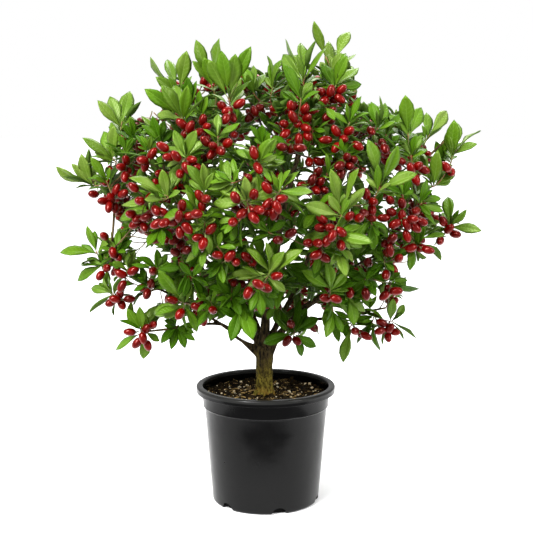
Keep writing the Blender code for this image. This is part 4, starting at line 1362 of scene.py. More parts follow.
def inside(polygon, pixels):
    """Which pixels lie inside a polygon."""
    x, y = pixels[:, 0:1], pixels[:, 1:2]
    first = np.array(polygon, float)
    last = np.roll(first, -1, axis=0)
    crosses = (first[None, :, 1] > y) != (last[None, :, 1] > y)
    slope = (last[:, 0] - first[:, 0]) / np.where(last[:, 1] == first[:, 1], 1e-9, last[:, 1] - first[:, 1])
    hit = first[None, :, 0] + (y - first[None, :, 1]) * slope[None]
    return (crosses & (x < hit)).sum(axis=1) % 2 == 1


def behind_face(point, spare):
    """True if a point stands far enough behind the shoots that the photograph shows."""
    pixels, depth = to_pixels(point)
    return depth > face_depth(pixels[0], pixels[1]) + spare


def shoot_directions(mass, rng):
    """Directions to try for the shoots of a mass, in the order of the solids."""
    outwards = (Vector(mass.centre) - HEART).normalized()
    count = 4 * mass.shoots
    turn = rng.uniform(0, math.tau)
    spread = []
    for i in range(count):
        height = 1 - 2 * (i + 0.5) / count
        angle = i * GOLDEN_ANGLE + turn
        flat = math.sqrt(1 - height * height)
        direction = Vector((flat * math.cos(angle), flat * math.sin(angle), height))
        if direction.dot(outwards) > INWARD_LIMIT:
            spread.append(direction)
    chosen = [outwards]
    while spread:
        best = max(spread, key=lambda direction: min((direction - other).length for other in chosen))
        chosen.append(best)
        spread.remove(best)
    return chosen


def outward_heading(tip, direction, rng):
    """A shoot turns to the outside of the crown and up to the light."""
    outwards = (tip - HEART).normalized()
    lift = Vector((0.0, 0.0, LIFT_ABOVE if tip.z > LIFT_HEIGHT else LIFT_BELOW))
    stray = Vector([rng.gauss(0, HEADING_STRAY) for _ in range(3)])
    return (direction * HEADING_DIRECTION + outwards * HEADING_OUTWARDS + lift + stray).normalized()


class Twig:
    """A twig that ends in a shoot: its path, what it grows on, and how much it carries."""

    def __init__(self, path, parent, place):
        self.path = path
        self.parent = parent
        self.place = place
        self.carried = []

    def load(self):
        return 1 + sum(load for _, load in self.carried)


class Skeleton:
    """All the places that a further twig can start from, and the twigs themselves."""

    def __init__(self, wood, stems):
        self.points, self.directions, self.owners = [], [], []
        self.twigs = []
        for name, path, _ in wood.tubes:
            if name != "trunk":
                bare = FIRST_LIMB_BARE if name in FIRST_LIMBS else BOUGH_BARE
                self.add_places(path[int(bare * len(path)) :], None)
        for foot, end in stems:
            self.add_places(np.array([foot.lerp(end, k / 12) for k in range(13)]), None)

    def add_places(self, path, owner):
        steps = normalised(np.diff(path, axis=0))
        self.points.append(path[1:])
        self.directions.append(steps)
        self.owners += [(owner, i + 1) for i in range(len(steps))]
        self.flat_points = np.concatenate(self.points)
        self.flat_directions = np.concatenate(self.directions)

    def distance(self, target):
        return np.linalg.norm(self.flat_points - target, axis=1).min()

    def grow(self, target, heading, via=None):
        """A twig from the best place to a target, which it reaches along a heading."""
        first = via if via is not None else target
        run = first - self.flat_points
        lengths = np.linalg.norm(run, axis=1) + 1e-9
        ahead = (run * self.flat_directions).sum(axis=1) / lengths
        heart = np.array(HEART) - np.array((0.0, 0.0, BELOW_HEART))
        outer = np.linalg.norm(self.flat_points - heart, axis=1) - np.linalg.norm(first - heart)
        onwards = heading if via is None else normalised(target - via)
        aslant = np.maximum(0.0, ASLANT_FROM - run @ onwards / lengths)
        turned_round = np.maximum(0.0, -ahead)
        cost = lengths * (RUN_COST - AHEAD_SAVING * ahead + ASLANT_COST * aslant + ROUND_COST * turned_round)
        cost = cost + OUTER_COST * np.maximum(0.0, outer)
        cost[lengths < SHORTEST_TWIG] = np.inf
        best = int(cost.argmin())
        start, along = Vector(self.flat_points[best]), Vector(self.flat_directions[best])
        stops = [start, Vector(target)]
        if via is not None and run[best] @ onwards > 0.1 * lengths[best]:
            stops.insert(1, Vector(via))
        follow = TWIG_FOLLOW * max(0.0, FOLLOW_FIXED + (1 - FOLLOW_FIXED) * float(ahead[best]))
        leaving = ((stops[1] - start).normalized() + along * follow).normalized()
        last_run = (stops[-1] - stops[-2]).normalized()
        share = ARRIVE_SQUARE - ARRIVE_LESS * last_run.dot(Vector(heading))
        arriving = (Vector(heading) + last_run * share).normalized()
        path = twig_path(stops, leaving, arriving, TWIG_SPACING)
        path = np.array([tuple(point) for point in path])
        owner, place = self.owners[best]
        twig = Twig(path, owner, place)
        self.twigs.append(twig)
        self.add_places(path[: max(2, len(path) - TWIG_END_POINTS)], twig)
        return twig

    def settle(self):
        """Hands the load of each twig on to the one that carries it."""
        for twig in reversed(self.twigs):
            if twig.parent is not None:
                twig.parent.carried.append((twig.place, twig.load()))

    def radii(self, twig):
        """The radius at each point of a twig, by what it carries from there on."""
        loads = np.ones(len(twig.path))
        for place, load in twig.carried:
            loads[: place + 1] += load
        radii = np.minimum(TWIG_RADIUS * loads**TWIG_POWER, THICKEST_TWIG)
        radii[0] *= TWIG_FLARE
        return np.convolve(np.pad(radii, 2, mode="edge"), np.ones(5) / 5, mode="valid")


# Leaves and berries


# A leaf of unit length: how far along its rows lie, their half widths, and the columns across the half width
LEAF_ROWS = [0.0, 0.08, 0.23, 0.40, 0.57, 0.74, 0.89, 1.0]
LEAF_HALVES = [0.060, 0.080, 0.36, 0.76, 1.0, 0.88, 0.46, 0.0]
LEAF_COLUMNS = [-1.0, -0.52, -0.045, 0.045, 0.52, 1.0]
RIB_COLUMN = 2
RIB_SUNK = 0.006
# How far the middle of its underside lies below the rib
LEAF_BELLY = 1.6 * LEAF_THICKNESS / LEAF_LENGTH + 0.012
LEAF_SHAPES = 16

# How far the end of a measured leaf stands to the viewer and how much the leaf is shortened, tried in turn
# where it would meet a berry
LEANS = [-0.012, 0.012, -0.020, 0.020, -0.028, 0.028, -0.038, 0.038]
SHORTER = [1.0, 0.85, 0.70]

# The room that a leaf leaves round a berry's axis and round wood, and how far leaves and berries may pass the
# solids' box
BERRY_ROOM = 0.0076
LEAF_FROM_WOOD = 0.0006
BOX_SPARE = 0.008

# A berry's points: round it and along it, and the radii of its stalk, which widens into the calyx
BERRY_AROUND = 12
BERRY_ROWS = 9
STALK_RADII = [0.0009, 0.0008, 0.0018, 0.0006]

# How far from a closed spot its leaf may root in pixels, how many places are tried, and how far the leaf
# reaches past the spot
CLOSING_ROOTS = (5, 30)
CLOSING_TRIES = 80
CLOSING_PAST = (0.020, 0.013, 0.007)

# Lengths that a measured leaf may have, and the least one where it is shortened
MEASURED_LENGTHS = (0.026, 0.070)
SHORTENED_LEAST = 0.022
# How much longer a measured leaf is than it shows, and the turn of one that is seen edge on, in degrees
MEASURED_STRETCH = (1.04, 1.16)
EDGE_ON_TURN = (62, 78)
# Sizes on a shoot of the rule: how many young leaves, the smallest, how much each next one grows, and the
# sizes of the others
YOUNG_LEAVES = 3
YOUNG_SIZE = 0.50
YOUNG_GROWTH = 0.17
LEAF_SIZES = (0.74, 1.10)
# A leaf's lean away from its shoot in degrees: the first one's, the step to the next, the last leaf that
# leans further, and how much they differ
LEAN_FIRST = 15
LEAN_STEP = 7.5
LEAN_LAST = 9
LEAN_STRAY = 9
# On a measured shoot, a leaf of the rule that points to the viewer by more than this is turned away by so
# much
FACING_LIMIT = 0.25
FACING_TURN = 1.5
# How many of the youngest leaves are lighter, by how much, and how much the greens differ
LIGHTER_LEAVES = 2
YOUNG_LIGHTER = 0.22
GREEN_STRAY = 0.14
LAST_GREEN = len(GREENS) - 1

# Where leaves stand on a shoot: the first one's distance from its end, the step between measured ones, that
# of the rule's rosette, the rosette's last leaf, and the longer step after it
FIRST_LEAF = 0.0008
MEASURED_STEP = 0.0015
ROSETTE_STEP = 0.0021
ROSETTE_LAST = 8
LOOSE_STEP = 0.009
# How often a leaf of the rule is tried, and by how much it turns on and shrinks each time
LEAF_TRIES = 5
LEAF_TURN = 0.83
LEAF_SHRINK = 0.07

# A berry's length and width as shares of the usual ones, the points of its axis that keep apart from others,
# and how near those may come, as a share of the width
BERRY_LENGTHS = (0.92, 1.06)
BERRY_WIDTHS = (0.95, 1.05)
BERRY_AXIS = (0.30, 0.70)
BERRY_CROWDING = 0.84
MEASURED_CROWDING = 0.82
# Its stalk: how far it bows up for its length, how far before the berry the calyx is widest, and how far the
# stalk reaches in
STALK_BOW = 0.08
CALYX_BEFORE = 0.0008
STALK_INSIDE = 0.0011
# How far before the end of its shoot a measured berry's middle stands, tried in turn, and how much it leans
# to the viewer
BERRY_BEFORE = (0.006, 0.012, 0.000, 0.018, -0.006, 0.024)
BERRY_TO_VIEWER = (0.1, 0.3, 0.5, 0.9, 1.6)

# A cluster of the rule: how often a shoot has one in the light and in the shade, the level between the two,
# which also parts the reds, how many berries, the first one's distance from the shoot's end and the step
# between them, the stalks' lengths, and how often a berry is tried and by how much it turns on each time
CLUSTER_IN_LIGHT = 0.80
CLUSTER_IN_SHADE = 0.35
CLUSTER_LIGHT = 0.25
CLUSTER_COUNTS = (3, 4, 5, 6, 7, 8)
CLUSTER_START = 0.020
CLUSTER_STEP = 0.0040
CLUSTER_STALKS = (0.0035, 0.0070)
CLUSTER_TRIES = 7
CLUSTER_TURN = 1.1

# The light in the crown: from which share of its reach and from which height it counts, and how much the
# height adds
LIGHT_FROM = 0.42
LIGHT_HEIGHT = 0.47
LIGHT_BY_HEIGHT = 0.50
# How many greens there are from full light to none
GREEN_RANGE = 4.8


def leaf_points(rng, narrow):
    """The points and UVs of one leaf of unit length, along +Y with its upper side to +Z.

    The blade arches along its length, folds at the rib, and is a thin closed lens."""
    bend = math.radians(rng.uniform(6, 42))
    fold = math.radians(rng.uniform(10, 36))
    twist = math.radians(rng.uniform(-16, 16))
    sway = rng.uniform(-0.035, 0.035)
    wave = rng.uniform(0.01, 0.09)
    phase = rng.uniform(0, math.tau)
    ratio = narrow * LEAF_WIDTH / LEAF_LENGTH
    points, uvs, middles = [], [], []
    y, z, before = 0.0, 0.0, 0.0
    for t, half in zip(LEAF_ROWS, LEAF_HALVES):
        slope = bend * (0.5 - t)
        y += (t - before) * math.cos(slope)
        z += (t - before) * math.sin(slope)
        before = t
        bow = sway * math.sin(math.pi * t)
        middles.append((bow, y, z, slope))
        turn = twist * t
        for column in LEAF_COLUMNS if half else [0.0]:
            by_rib = abs(column) < 0.1
            x = column * (0.5 - 0.3 * t) * ratio * 0.9 if by_rib else column * half * 0.5 * ratio
            rise = abs(x) * math.tan(fold) * (1.0 - 0.50 * abs(column) ** 2)
            rise += wave * abs(column) * math.sin(9 * t + phase + (2.0 if column > 0 else 0.0)) * half * ratio
            side = x * math.cos(turn) - rise * math.sin(turn)
            up = x * math.sin(turn) + rise * math.cos(turn)
            if by_rib and 0.05 < t < 0.97:
                up -= RIB_SUNK
            points.append((side + bow, y - up * math.sin(slope), z + up * math.cos(slope)))
            uvs.append((0.5 + 0.5 * column, t))
    for (bow, y, z, slope), t in zip(middles[1:-1], LEAF_ROWS[1:-1]):
        points.append((bow, y + LEAF_BELLY * math.sin(slope), z - LEAF_BELLY * math.cos(slope)))
        uvs.append((0.5, t))
    return np.array(points), np.array(uvs)


def leaf_faces():
    """A leaf's triangles and quads, with slot 0 for the blade, 1 for the rib and 2 for the underside."""
    width, rows = len(LEAF_COLUMNS), len(LEAF_ROWS)
    slots = [1 if column == RIB_COLUMN else 0 for column in range(width - 1)]
    quads, quad_slots = [], []
    for row in range(rows - 2):
        for column in range(width - 1):
            a = row * width + column
            quads.append((a, a + 1, a + width + 1, a + width))
        quad_slots += slots
    last, tip = (rows - 2) * width, (rows - 1) * width
    triangles = [(last + column, last + column + 1, tip) for column in range(width - 1)]
    # The underside: from the edges to its own middle line
    under, end = tip + 1, tip + rows - 2
    for row in range(1, rows - 2):
        middle = tip + row
        left, right = row * width, row * width + width - 1
        quads.append((left, left + width, middle + 1, middle))
        quads.append((middle, middle + 1, right + width, right))
        quad_slots += [2, 2]
    triangles += [(0, width, under), (under, 2 * width - 1, width - 1), (0, under, width - 1)]
    triangles += [(last, tip, end), (end, tip, last + width - 1)]
    # The foot of the stalk
    triangles += [(0, column + 1, column) for column in range(1, width - 1)]
    triangle_slots = slots + [2] * (len(triangles) - len(slots))
    return [np.array(triangles), np.array(quads)], [np.array(triangle_slots), np.array(quad_slots)]


def berry_points():
    """The points of a berry of unit length and width along +Y, from its stalk end to its small point."""
    points = [(0.0, 0.0, 0.0)]
    for row in range(1, BERRY_ROWS):
        t = 0.5 - 0.5 * math.cos(math.pi * row / BERRY_ROWS)
        radius = 0.5 * math.sin(math.pi * row / BERRY_ROWS) ** 0.94 * (1.0 - 0.12 * (t - 0.45))
        for i in range(BERRY_AROUND):
            angle = i * math.tau / BERRY_AROUND
            points.append((radius * math.cos(angle), t, radius * math.sin(angle)))
    points.append((0.0, 1.012, 0.0))
    return np.array(points)


def in_outline(points):
    """True if the points show inside the crown's outline."""
    pixels, _ = to_pixels(points)
    return bool(inside(OUTLINE, pixels).all())


def nearer(points, others, room):
    """True if any point is nearer to another than the room between them."""
    return bool((np.linalg.norm(points[:, None] - others[None], axis=2) < room).any())


def placed(points, root, along, upper, scale):
    """Template points put at a root, along a direction, with their +Z side towards upper."""
    normal = upper - along * upper.dot(along)
    if normal.length < 0.01:
        normal = along.orthogonal()
    normal.normalize()
    across = along.cross(normal)
    turn = np.array([across * scale[0], along * scale[1], normal * scale[2]])
    return points @ turn + np.array(root)


class Crown:
    """All that grows on the shoots: leaves by their green, berries by their red, and their stalks."""

    def __init__(self, wood, limbs):
        rng = random.Random(SEED)
        self.wood = wood
        self.leaf_shapes = [leaf_points(rng, rng.uniform(0.84, 1.08)) for _ in range(LEAF_SHAPES)]
        self.leaf_faces, self.leaf_slots = leaf_faces()
        self.berry_points, self.berry_faces = berry_points(), ring_faces(BERRY_AROUND, BERRY_ROWS - 1)
        self.leaves = [Joined() for _ in GREENS]
        self.berries = [Joined(), Joined()]
        self.stalks = Joined()
        self.side_shoots = []
        # Points on the berries' axes and on the measured leaves, and the pixels and depths that have to show
        self.balls = np.empty((0, 3))
        self.blades = np.empty((0, 3))
        self.shown = np.empty((0, 2))
        self.shown_depths = np.empty(0)
        for name, upper_row, lower_row in BARE_BOUGHS:
            path = [tuple(point_along(limbs[name], step / 60)[0]) for step in range(61)]
            pixels, depths = to_pixels(np.array(path))
            rows = (pixels[:, 1] > upper_row) & (pixels[:, 1] < lower_row)
            self.show(pixels[rows], depths[rows])
        self.low = np.array(CAD_BOX[0]) - BOX_SPARE
        self.high = np.array(CAD_BOX[1]) + BOX_SPARE
        self.sky = np.array([(u, v) for u, v, _ in SKY], float)
        self.sky_radii = np.array([radius for _, _, radius in SKY], float)

    def show(self, pixels, depths):
        """Keeps what comes later from hiding these pixels."""
        self.shown = np.concatenate([self.shown, pixels])
        self.shown_depths = np.concatenate([self.shown_depths, depths])

    def out_of_place(self, points):
        """True where the photograph has sky, or before a berry or bough that it shows."""
        pixels, depths = to_pixels(points)
        if (np.linalg.norm(pixels[:, None, :] - self.sky[None], axis=2) < self.sky_radii[None]).any():
            return True
        near = np.linalg.norm(pixels[:, None, :] - self.shown[None], axis=2) < SHOWN_ROOM
        return bool((near & (depths[:, None] < self.shown_depths[None])).any())

    def fits_box(self, points):
        return bool((points > self.low).all() and (points < self.high).all())

    def add_leaf(self, root, along, upper, size, green, rng, measured=False):
        """A leaf from its root, if there is room for it."""
        points, uvs = rng.choice(self.leaf_shapes)
        length = LEAF_LENGTH * size
        moved = placed(points, root, along, upper, (length, length, length))
        if not self.fits_box(moved):
            return False
        probe = moved[6::2]
        if not measured and (self.out_of_place(probe) or not in_outline(probe[8:])):
            return False
        if nearer(probe[3:], self.balls, BERRY_ROOM):
            return False
        if not all(self.wood.clear_of(point, LEAF_FROM_WOOD) for point in moved[18::6]):
            return False
        if measured:
            self.blades = np.concatenate([self.blades, probe])
        self.leaves[green].add(moved, self.leaf_faces, self.leaf_slots, uvs)
        return True

    def add_berry(self, root, foot, along, shade, rng, crowding=BERRY_CROWDING, shown=None):
        """A berry on its stalk from a root on a twig, if there is room for it."""
        length = BERRY_LENGTH * rng.uniform(*BERRY_LENGTHS)
        width = BERRY_WIDTH * rng.uniform(*BERRY_WIDTHS)
        centres = np.array([foot + along * (length * share) for share in BERRY_AXIS])
        if nearer(centres, self.balls, width * crowding):
            return False
        if shown is None and nearer(centres, self.blades, BERRY_ROOM):
            return False
        if not all(self.wood.clear_of(centre, width * 0.5) for centre in centres):
            return False
        moved = placed(self.berry_points, foot, along, along.orthogonal(), (width, length, width))
        if not self.fits_box(moved):
            return False
        if shown is None and (self.out_of_place(moved[::6]) or not in_outline(moved[::6])):
            return False
        if shown is not None:
            _, depths = to_pixels(centres)
            self.show([shown], [depths.min()])
        self.balls = np.concatenate([self.balls, centres])
        self.berries[shade].add(moved, self.berry_faces)
        bow = (foot - root).length * STALK_BOW * UP
        path = [root, root.lerp(foot, 0.5) + bow, foot - along * CALYX_BEFORE, foot + along * STALK_INSIDE]
        self.stalks.add(*tube([tuple(point) for point in path], STALK_RADII, 5))
        return True


def brightness(point):
    """How much light a spot of the crown gets, from 0 deep inside to 1 on the outside at the top."""
    away = (np.array(point) - CROWN_MIDDLE) / CROWN_REACH
    out = math.sqrt(away @ away)
    return min(1.0, max(0.0, (out - LIGHT_FROM) + LIGHT_BY_HEIGHT * (point[2] - LIGHT_HEIGHT)))


def green_for(level):
    """The number of the green for a level of light."""
    return int(min(LAST_GREEN, max(0, (1.0 - level) * GREEN_RANGE)))


class Shoot:
    """The end of a twig with what it carries."""

    def __init__(self, twig, tip, heading, spray=None, size=1.0):
        self.twig = twig
        self.tip = Vector(tip)
        self.heading = Vector(heading)
        self.spray = spray
        self.size = size

    def rooted(self, back):
        """The place on the twig at a distance back from its tip."""
        path = self.twig.path
        lengths = np.concatenate([[0.0], np.cumsum(np.linalg.norm(np.diff(path[::-1], axis=0), axis=1))])
        back = min(back, lengths[-1] * 0.9)
        return Vector([float(np.interp(back, lengths, path[::-1][:, k])) for k in range(3)])


def measured_line(spray):
    """Where a measured shoot ends, its heading there, and a point that its twig runs by before."""
    viewer = np.array(TO_VIEWER)
    depth = face_depth(*spray.tip) + FACE_DEPTH * spray.deep
    tip = at_pixel(*spray.tip, depth)
    heading = sum(normalised(at_pixel(leaf[0], leaf[1], depth) - tip) for leaf in spray.leaves)
    if spray.berries:
        # The twig runs by just behind the middle of its berries
        middle = np.mean(spray.berries, axis=0)
        via = at_pixel(middle[0], middle[1], depth + VIA_BEHIND)
        gap = np.linalg.norm(tip - via)
        if gap > LEAST_GAP:
            heading = heading * HEADING_LEAVES + (tip - via) / gap
        if gap < VIA_APART:
            back = (tip - via) / max(gap, 1e-6)
            via = tip - back * VIA_APART - viewer * VIA_BEHIND
    heading = heading + viewer * HEADING_TO_VIEWER + np.array((0.0, 0.0, HEADING_UP))
    heading = heading / np.linalg.norm(heading)
    if not spray.berries:
        via = tip - heading * BARE_APART - viewer * BARE_BEHIND
    return tip, heading, via


def hero_shoots(skeleton):
    """The shoots that the photograph shows, each joined to the nearest limb or twig."""
    found = [(spray, *measured_line(spray)) for spray in SPRAYS]
    found.sort(key=lambda item: skeleton.distance(item[3]))
    shoots = []
    for spray, tip, heading, via in found:
        shoots.append(Shoot(skeleton.grow(tip, heading, via), tip, heading, spray))
    return shoots


def crowded(tip, taken, room):
    """True if a shoot that is there already is nearer than the room."""
    return np.linalg.norm(np.array(taken) - np.array(tip), axis=1).min() < room


def rule_shoots(wood, skeleton, taken):
    """The shoots of the source's rule, all round each mass, but for those in front of the measured ones."""
    wanted = []
    for index, mass in enumerate(MASSES):
        rng = random.Random(SEED + index)
        centre = Vector(mass.centre)
        for order, direction in enumerate(shoot_directions(mass, rng)):
            shorter = 1.0 if order < mass.shoots else rng.uniform(0.74, 1.0)
            tip = centre + direction * (mass.reach * shorter - ROSETTE_SHARE * LEAF_LENGTH)
            wanted.append((order, tip, direction))
    wanted.sort(key=lambda item: item[0])
    rng = random.Random(SEED + 700)
    shoots = []
    for _, tip, direction in wanted:
        if not behind_face(tip, RULE_BEHIND) or not wood.clear_of(tip, RULE_FROM_WOOD):
            continue
        if crowded(tip, taken, RULE_ROOM) or not in_outline([tuple(tip)]):
            continue
        heading = outward_heading(tip, direction, rng)
        twig = skeleton.grow(np.array(tip), np.array(heading))
        taken.append(np.array(tip))
        shoots.append(Shoot(twig, tip, heading, None, rng.uniform(0.92, 1.08)))
    return shoots


def filling_shoots(wood, skeleton, taken, count):
    """Finer shoots where the crown still has room between the masses."""
    rng = random.Random(SEED + 900)
    shoots = []
    for _ in range(FILLING_ATTEMPTS):
        if len(shoots) >= count:
            break
        away = Vector((rng.gauss(0, 1), rng.gauss(0, 1), rng.gauss(0, 1))).normalized()
        share = rng.uniform(*FILLING_SHARES)
        tip = CROWN_MIDDLE + CROWN_REACH * np.array(away) * share
        if not behind_face(tip, FILLING_BEHIND) or not wood.clear_of(Vector(tip), FILLING_FROM_WOOD):
            continue
        if crowded(tip, taken, OUTER_ROOM if share > OUTER_SHARE else INNER_ROOM):
            continue
        if not in_outline(tip[None]) or skeleton.distance(tip) > FILLING_REACH:
            continue
        heading = outward_heading(Vector(tip), away, rng)
        twig = skeleton.grow(tip, np.array(heading))
        taken.append(tip)
        shoots.append(Shoot(twig, tip, heading, None, rng.uniform(0.90, 1.05)))
    return shoots


def hero_berries(crown, shoot, rng):
    """The berries of a measured shoot, each on a stalk from the nearest place on its twig."""
    if not shoot.spray.berries:
        return
    path = shoot.twig.path[len(shoot.twig.path) // 4 :]
    middle = np.mean(shoot.spray.berries, axis=0)
    _, depth = to_pixels(np.array(shoot.tip))
    shade = 0 if shoot.spray.shade < 4 and shoot.spray.deep < 0.25 else 1
    for u, v in shoot.spray.berries:
        flat = np.array((u - middle[0], 0.0, middle[1] - v))
        spread = np.linalg.norm(flat)
        stray = Vector((rng.gauss(0, 0.2), 0, rng.gauss(0, 0.2)))
        lean = Vector(flat / max(spread, 1e-6)) * min(1.0, spread / 5.0) + stray
        along = (lean + TO_VIEWER * rng.choice(BERRY_TO_VIEWER) - UP * 0.12).normalized()
        for closer in BERRY_BEFORE:
            centre = Vector(at_pixel(u, v, depth - closer))
            foot = centre - along * BERRY_LENGTH * 0.5
            root = Vector(path[np.linalg.norm(path - np.array(foot), axis=1).argmin()])
            if crown.add_berry(root, foot, along, shade, rng, MEASURED_CROWDING, (u, v)):
                break


def rule_berries(crown, shoot, rng):
    """A cluster below the rosette, on its outer side."""
    outwards = (shoot.tip - HEART).normalized()
    light = brightness(shoot.tip)
    if rng.random() > (CLUSTER_IN_LIGHT if light > CLUSTER_LIGHT else CLUSTER_IN_SHADE):
        return
    side = shoot.heading.orthogonal().normalized()
    start = rng.uniform(0, math.tau)
    for i in range(rng.choice(CLUSTER_COUNTS)):
        root = shoot.rooted(CLUSTER_START + CLUSTER_STEP * i)
        for attempt in range(CLUSTER_TRIES):
            turn = start + i * GOLDEN_ANGLE + attempt * CLUSTER_TURN
            out = Matrix.Rotation(turn, 3, shoot.heading) @ side
            lean = math.radians(rng.uniform(60, 105))
            along = shoot.heading * math.cos(lean) + out * math.sin(lean) + outwards * 0.70 - UP * 0.25
            along.normalize()
            foot = root + along * rng.uniform(*CLUSTER_STALKS)
            shade = 0 if light + rng.uniform(-0.15, 0.15) > CLUSTER_LIGHT else 1
            if crown.add_berry(root, foot, along, shade, rng):
                break


def hero_leaves(crown, shoot, rng):
    """The measured leaves of a shoot, from its end to where each one ends in the photograph."""
    _, depth = to_pixels(np.array(shoot.tip))
    shortest, longest = MEASURED_LENGTHS
    for order, leaf in enumerate(shoot.spray.leaves):
        root = shoot.rooted(FIRST_LEAF + MEASURED_STEP * order)
        flat = Vector(at_pixel(leaf[0], leaf[1], depth)) - root
        if flat.length > LONGEST_LEAF:
            # The leaf stands on a side shoot of its own
            stalk = flat.normalized() * (flat.length - 0.96 * LONGEST_LEAF)
            bow = shoot.heading * stalk.length * 0.12
            crown.side_shoots.append([root, root + stalk * 0.5 + bow, root + stalk])
            root, flat = root + stalk, flat - stalk
        length = min(longest, max(shortest, flat.length * rng.uniform(*MEASURED_STRETCH)))
        lean = math.sqrt(max(0.0, length**2 - flat.length_squared)) * (1 if rng.random() < 0.6 else -1)
        upper = TO_VIEWER * 0.75 + UP * 0.45 + Vector((rng.gauss(0, 0.30), 0.0, rng.gauss(0, 0.30)))
        if len(leaf) > 2:
            turn = rng.choice((-1, 1)) * math.radians(rng.uniform(*EDGE_ON_TURN))
            upper = Matrix.Rotation(turn, 3, flat.normalized()) @ upper
        green = max(0, min(LAST_GREEN, shoot.spray.shade + rng.choice((-1, 0, 0, 0, 1))))
        for shorter, closer in itertools.product(SHORTER, [lean, -lean] + LEANS):
            along = flat * shorter + TO_VIEWER * closer
            size = min(longest, max(SHORTENED_LEAST, along.length)) / LEAF_LENGTH
            if crown.add_leaf(root, along.normalized(), upper, size, green, rng, True):
                break


def rule_leaves(crown, shoot, rng, orders, size):
    """Leaves round the end of a shoot, the youngest at its tip."""
    light = brightness(shoot.tip)
    side = shoot.heading.orthogonal().normalized()
    start = rng.uniform(0, math.tau)
    for i in orders:
        loose = LOOSE_STEP * (i - ROSETTE_LAST) if i > ROSETTE_LAST else 0.0
        root = shoot.rooted(FIRST_LEAF + ROSETTE_STEP * i + loose)
        scale = size * (YOUNG_SIZE + YOUNG_GROWTH * i if i < YOUNG_LEAVES else rng.uniform(*LEAF_SIZES))
        for attempt in range(LEAF_TRIES):
            turn = start + i * GOLDEN_ANGLE + attempt * LEAF_TURN + rng.uniform(-0.25, 0.25)
            out = Matrix.Rotation(turn, 3, shoot.heading) @ side
            if shoot.spray is not None and out.dot(TO_VIEWER) > FACING_LIMIT:
                out = out - TO_VIEWER * (FACING_TURN * out.dot(TO_VIEWER))
                out.normalize()
            stray = rng.uniform(-LEAN_STRAY, LEAN_STRAY)
            lean = math.radians(LEAN_FIRST + LEAN_STEP * min(i, LEAN_LAST) + stray)
            along = shoot.heading * math.cos(lean) + out * math.sin(lean)
            along = (along - UP * 0.10).normalized()
            upper = shoot.heading * 0.8 + UP * 0.7 + out * rng.uniform(-0.3, 0.1)
            if shoot.spray is not None:
                green = min(LAST_GREEN, shoot.spray.shade + rng.choice((0, 1, 1, 2)))
            else:
                lighter = YOUNG_LIGHTER if i < LIGHTER_LEAVES else 0.0
                green = green_for(light + lighter + rng.gauss(0, GREEN_STRAY))
            if crown.add_leaf(root, along, upper, scale * (1.0 - LEAF_SHRINK * attempt), green, rng):
                break


def closing_leaves(crown, skeleton):
    """A leaf across each spot that is closed in the photograph, from the nearest twig that can carry it."""
    rng = random.Random(SEED + 900)
    pixels, depths = to_pixels(skeleton.flat_points)
    nearest, furthest = CLOSING_ROOTS
    for u, v in CLOSED:
        apart = np.linalg.norm(pixels - (u, v), axis=1)
        near = [i for i in apart.argsort() if nearest < apart[i] < furthest]
        for past, i in itertools.product(CLOSING_PAST, near[:CLOSING_TRIES]):
            root = Vector(skeleton.flat_points[i])
            across = Vector(at_pixel(u, v, depths[i])) - root
            across += Vector([rng.gauss(0, 0.003) for _ in range(3)])
            upper = TO_VIEWER + UP * 0.4 + Vector([rng.gauss(0, 0.3) for _ in range(3)])
            size = min(1.05, (across.length + past) / LEAF_LENGTH)
            if crown.add_leaf(root, across.normalized(), upper, size, rng.choice((2, 3, 3, 4)), rng):
                break


def mass_stems(limbs):
    """The stem of each mass, which carries its bough on through the mass's centre."""
    stems = []
    for mass in MASSES:
        path = limbs[mass.name].path
        heading = (path[-1] - path[-2]).normalized()
        reach = (Vector(mass.centre) - path[-1]).length + STEM_PAST_CENTRE * mass.reach
        stems.append((path[-1], path[-1] + heading * reach))
    return stems


def dress(crown, shoots):
    """Leaves and berries on all the shoots, first those that the photograph shows."""
    rng = random.Random(SEED * 7)
    measured = [shoot for shoot in shoots if shoot.spray is not None]
    others = [shoot for shoot in shoots if shoot.spray is None]
    for shoot in measured:
        hero_berries(crown, shoot, rng)
    for shoot in measured:
        hero_leaves(crown, shoot, rng)
    for shoot in others:
        rule_berries(crown, shoot, rng)
    for shoot in measured:
        rule_leaves(crown, shoot, rng, (0, 1, 4, 5, 6, 7, 8), 0.86)
    for shoot in others:
        rule_leaves(crown, shoot, rng, range(rng.choice((8, 9, 10, 11))), shoot.size)


def add_twigs(stems, skeleton, side_shoots, looks):
    """The stems and twigs, with the young end of each twig and the side shoots as a piece of their own."""
    twigs, young = Joined(), Joined()
    for foot, end in stems:
        path = [tuple(foot.lerp(end, k / 5)) for k in range(6)]
        twigs.add(*tube(path, [STEM_RADIUS - STEM_TAPER * k for k in range(6)], STEM_SIDES))
    for twig in skeleton.twigs:
        radii = skeleton.radii(twig)
        split = max(1, len(twig.path) - YOUNG_POINTS)
        if split > 1:
            twigs.add(*tube(twig.path[: split + 1], radii[: split + 1], TWIG_SIDES))
        # The young end is a little thicker, so that it covers the twig where they overlap
        young.add(*tube(twig.path[split - 1 :], radii[split - 1 :] * 1.04, TWIG_SIDES))
    for path in side_shoots:
        young.add(*tube([tuple(point) for point in path], SIDE_SHOOT_RADII, TWIG_SIDES))
    masses = [f"foliage_{mass.name}" for mass in MASSES]
    add_piece("twigs", twigs.mesh("twigs"), looks["twig"], masses)
    add_piece("young_shoots", young.mesh("young_shoots"), looks["shoot"])


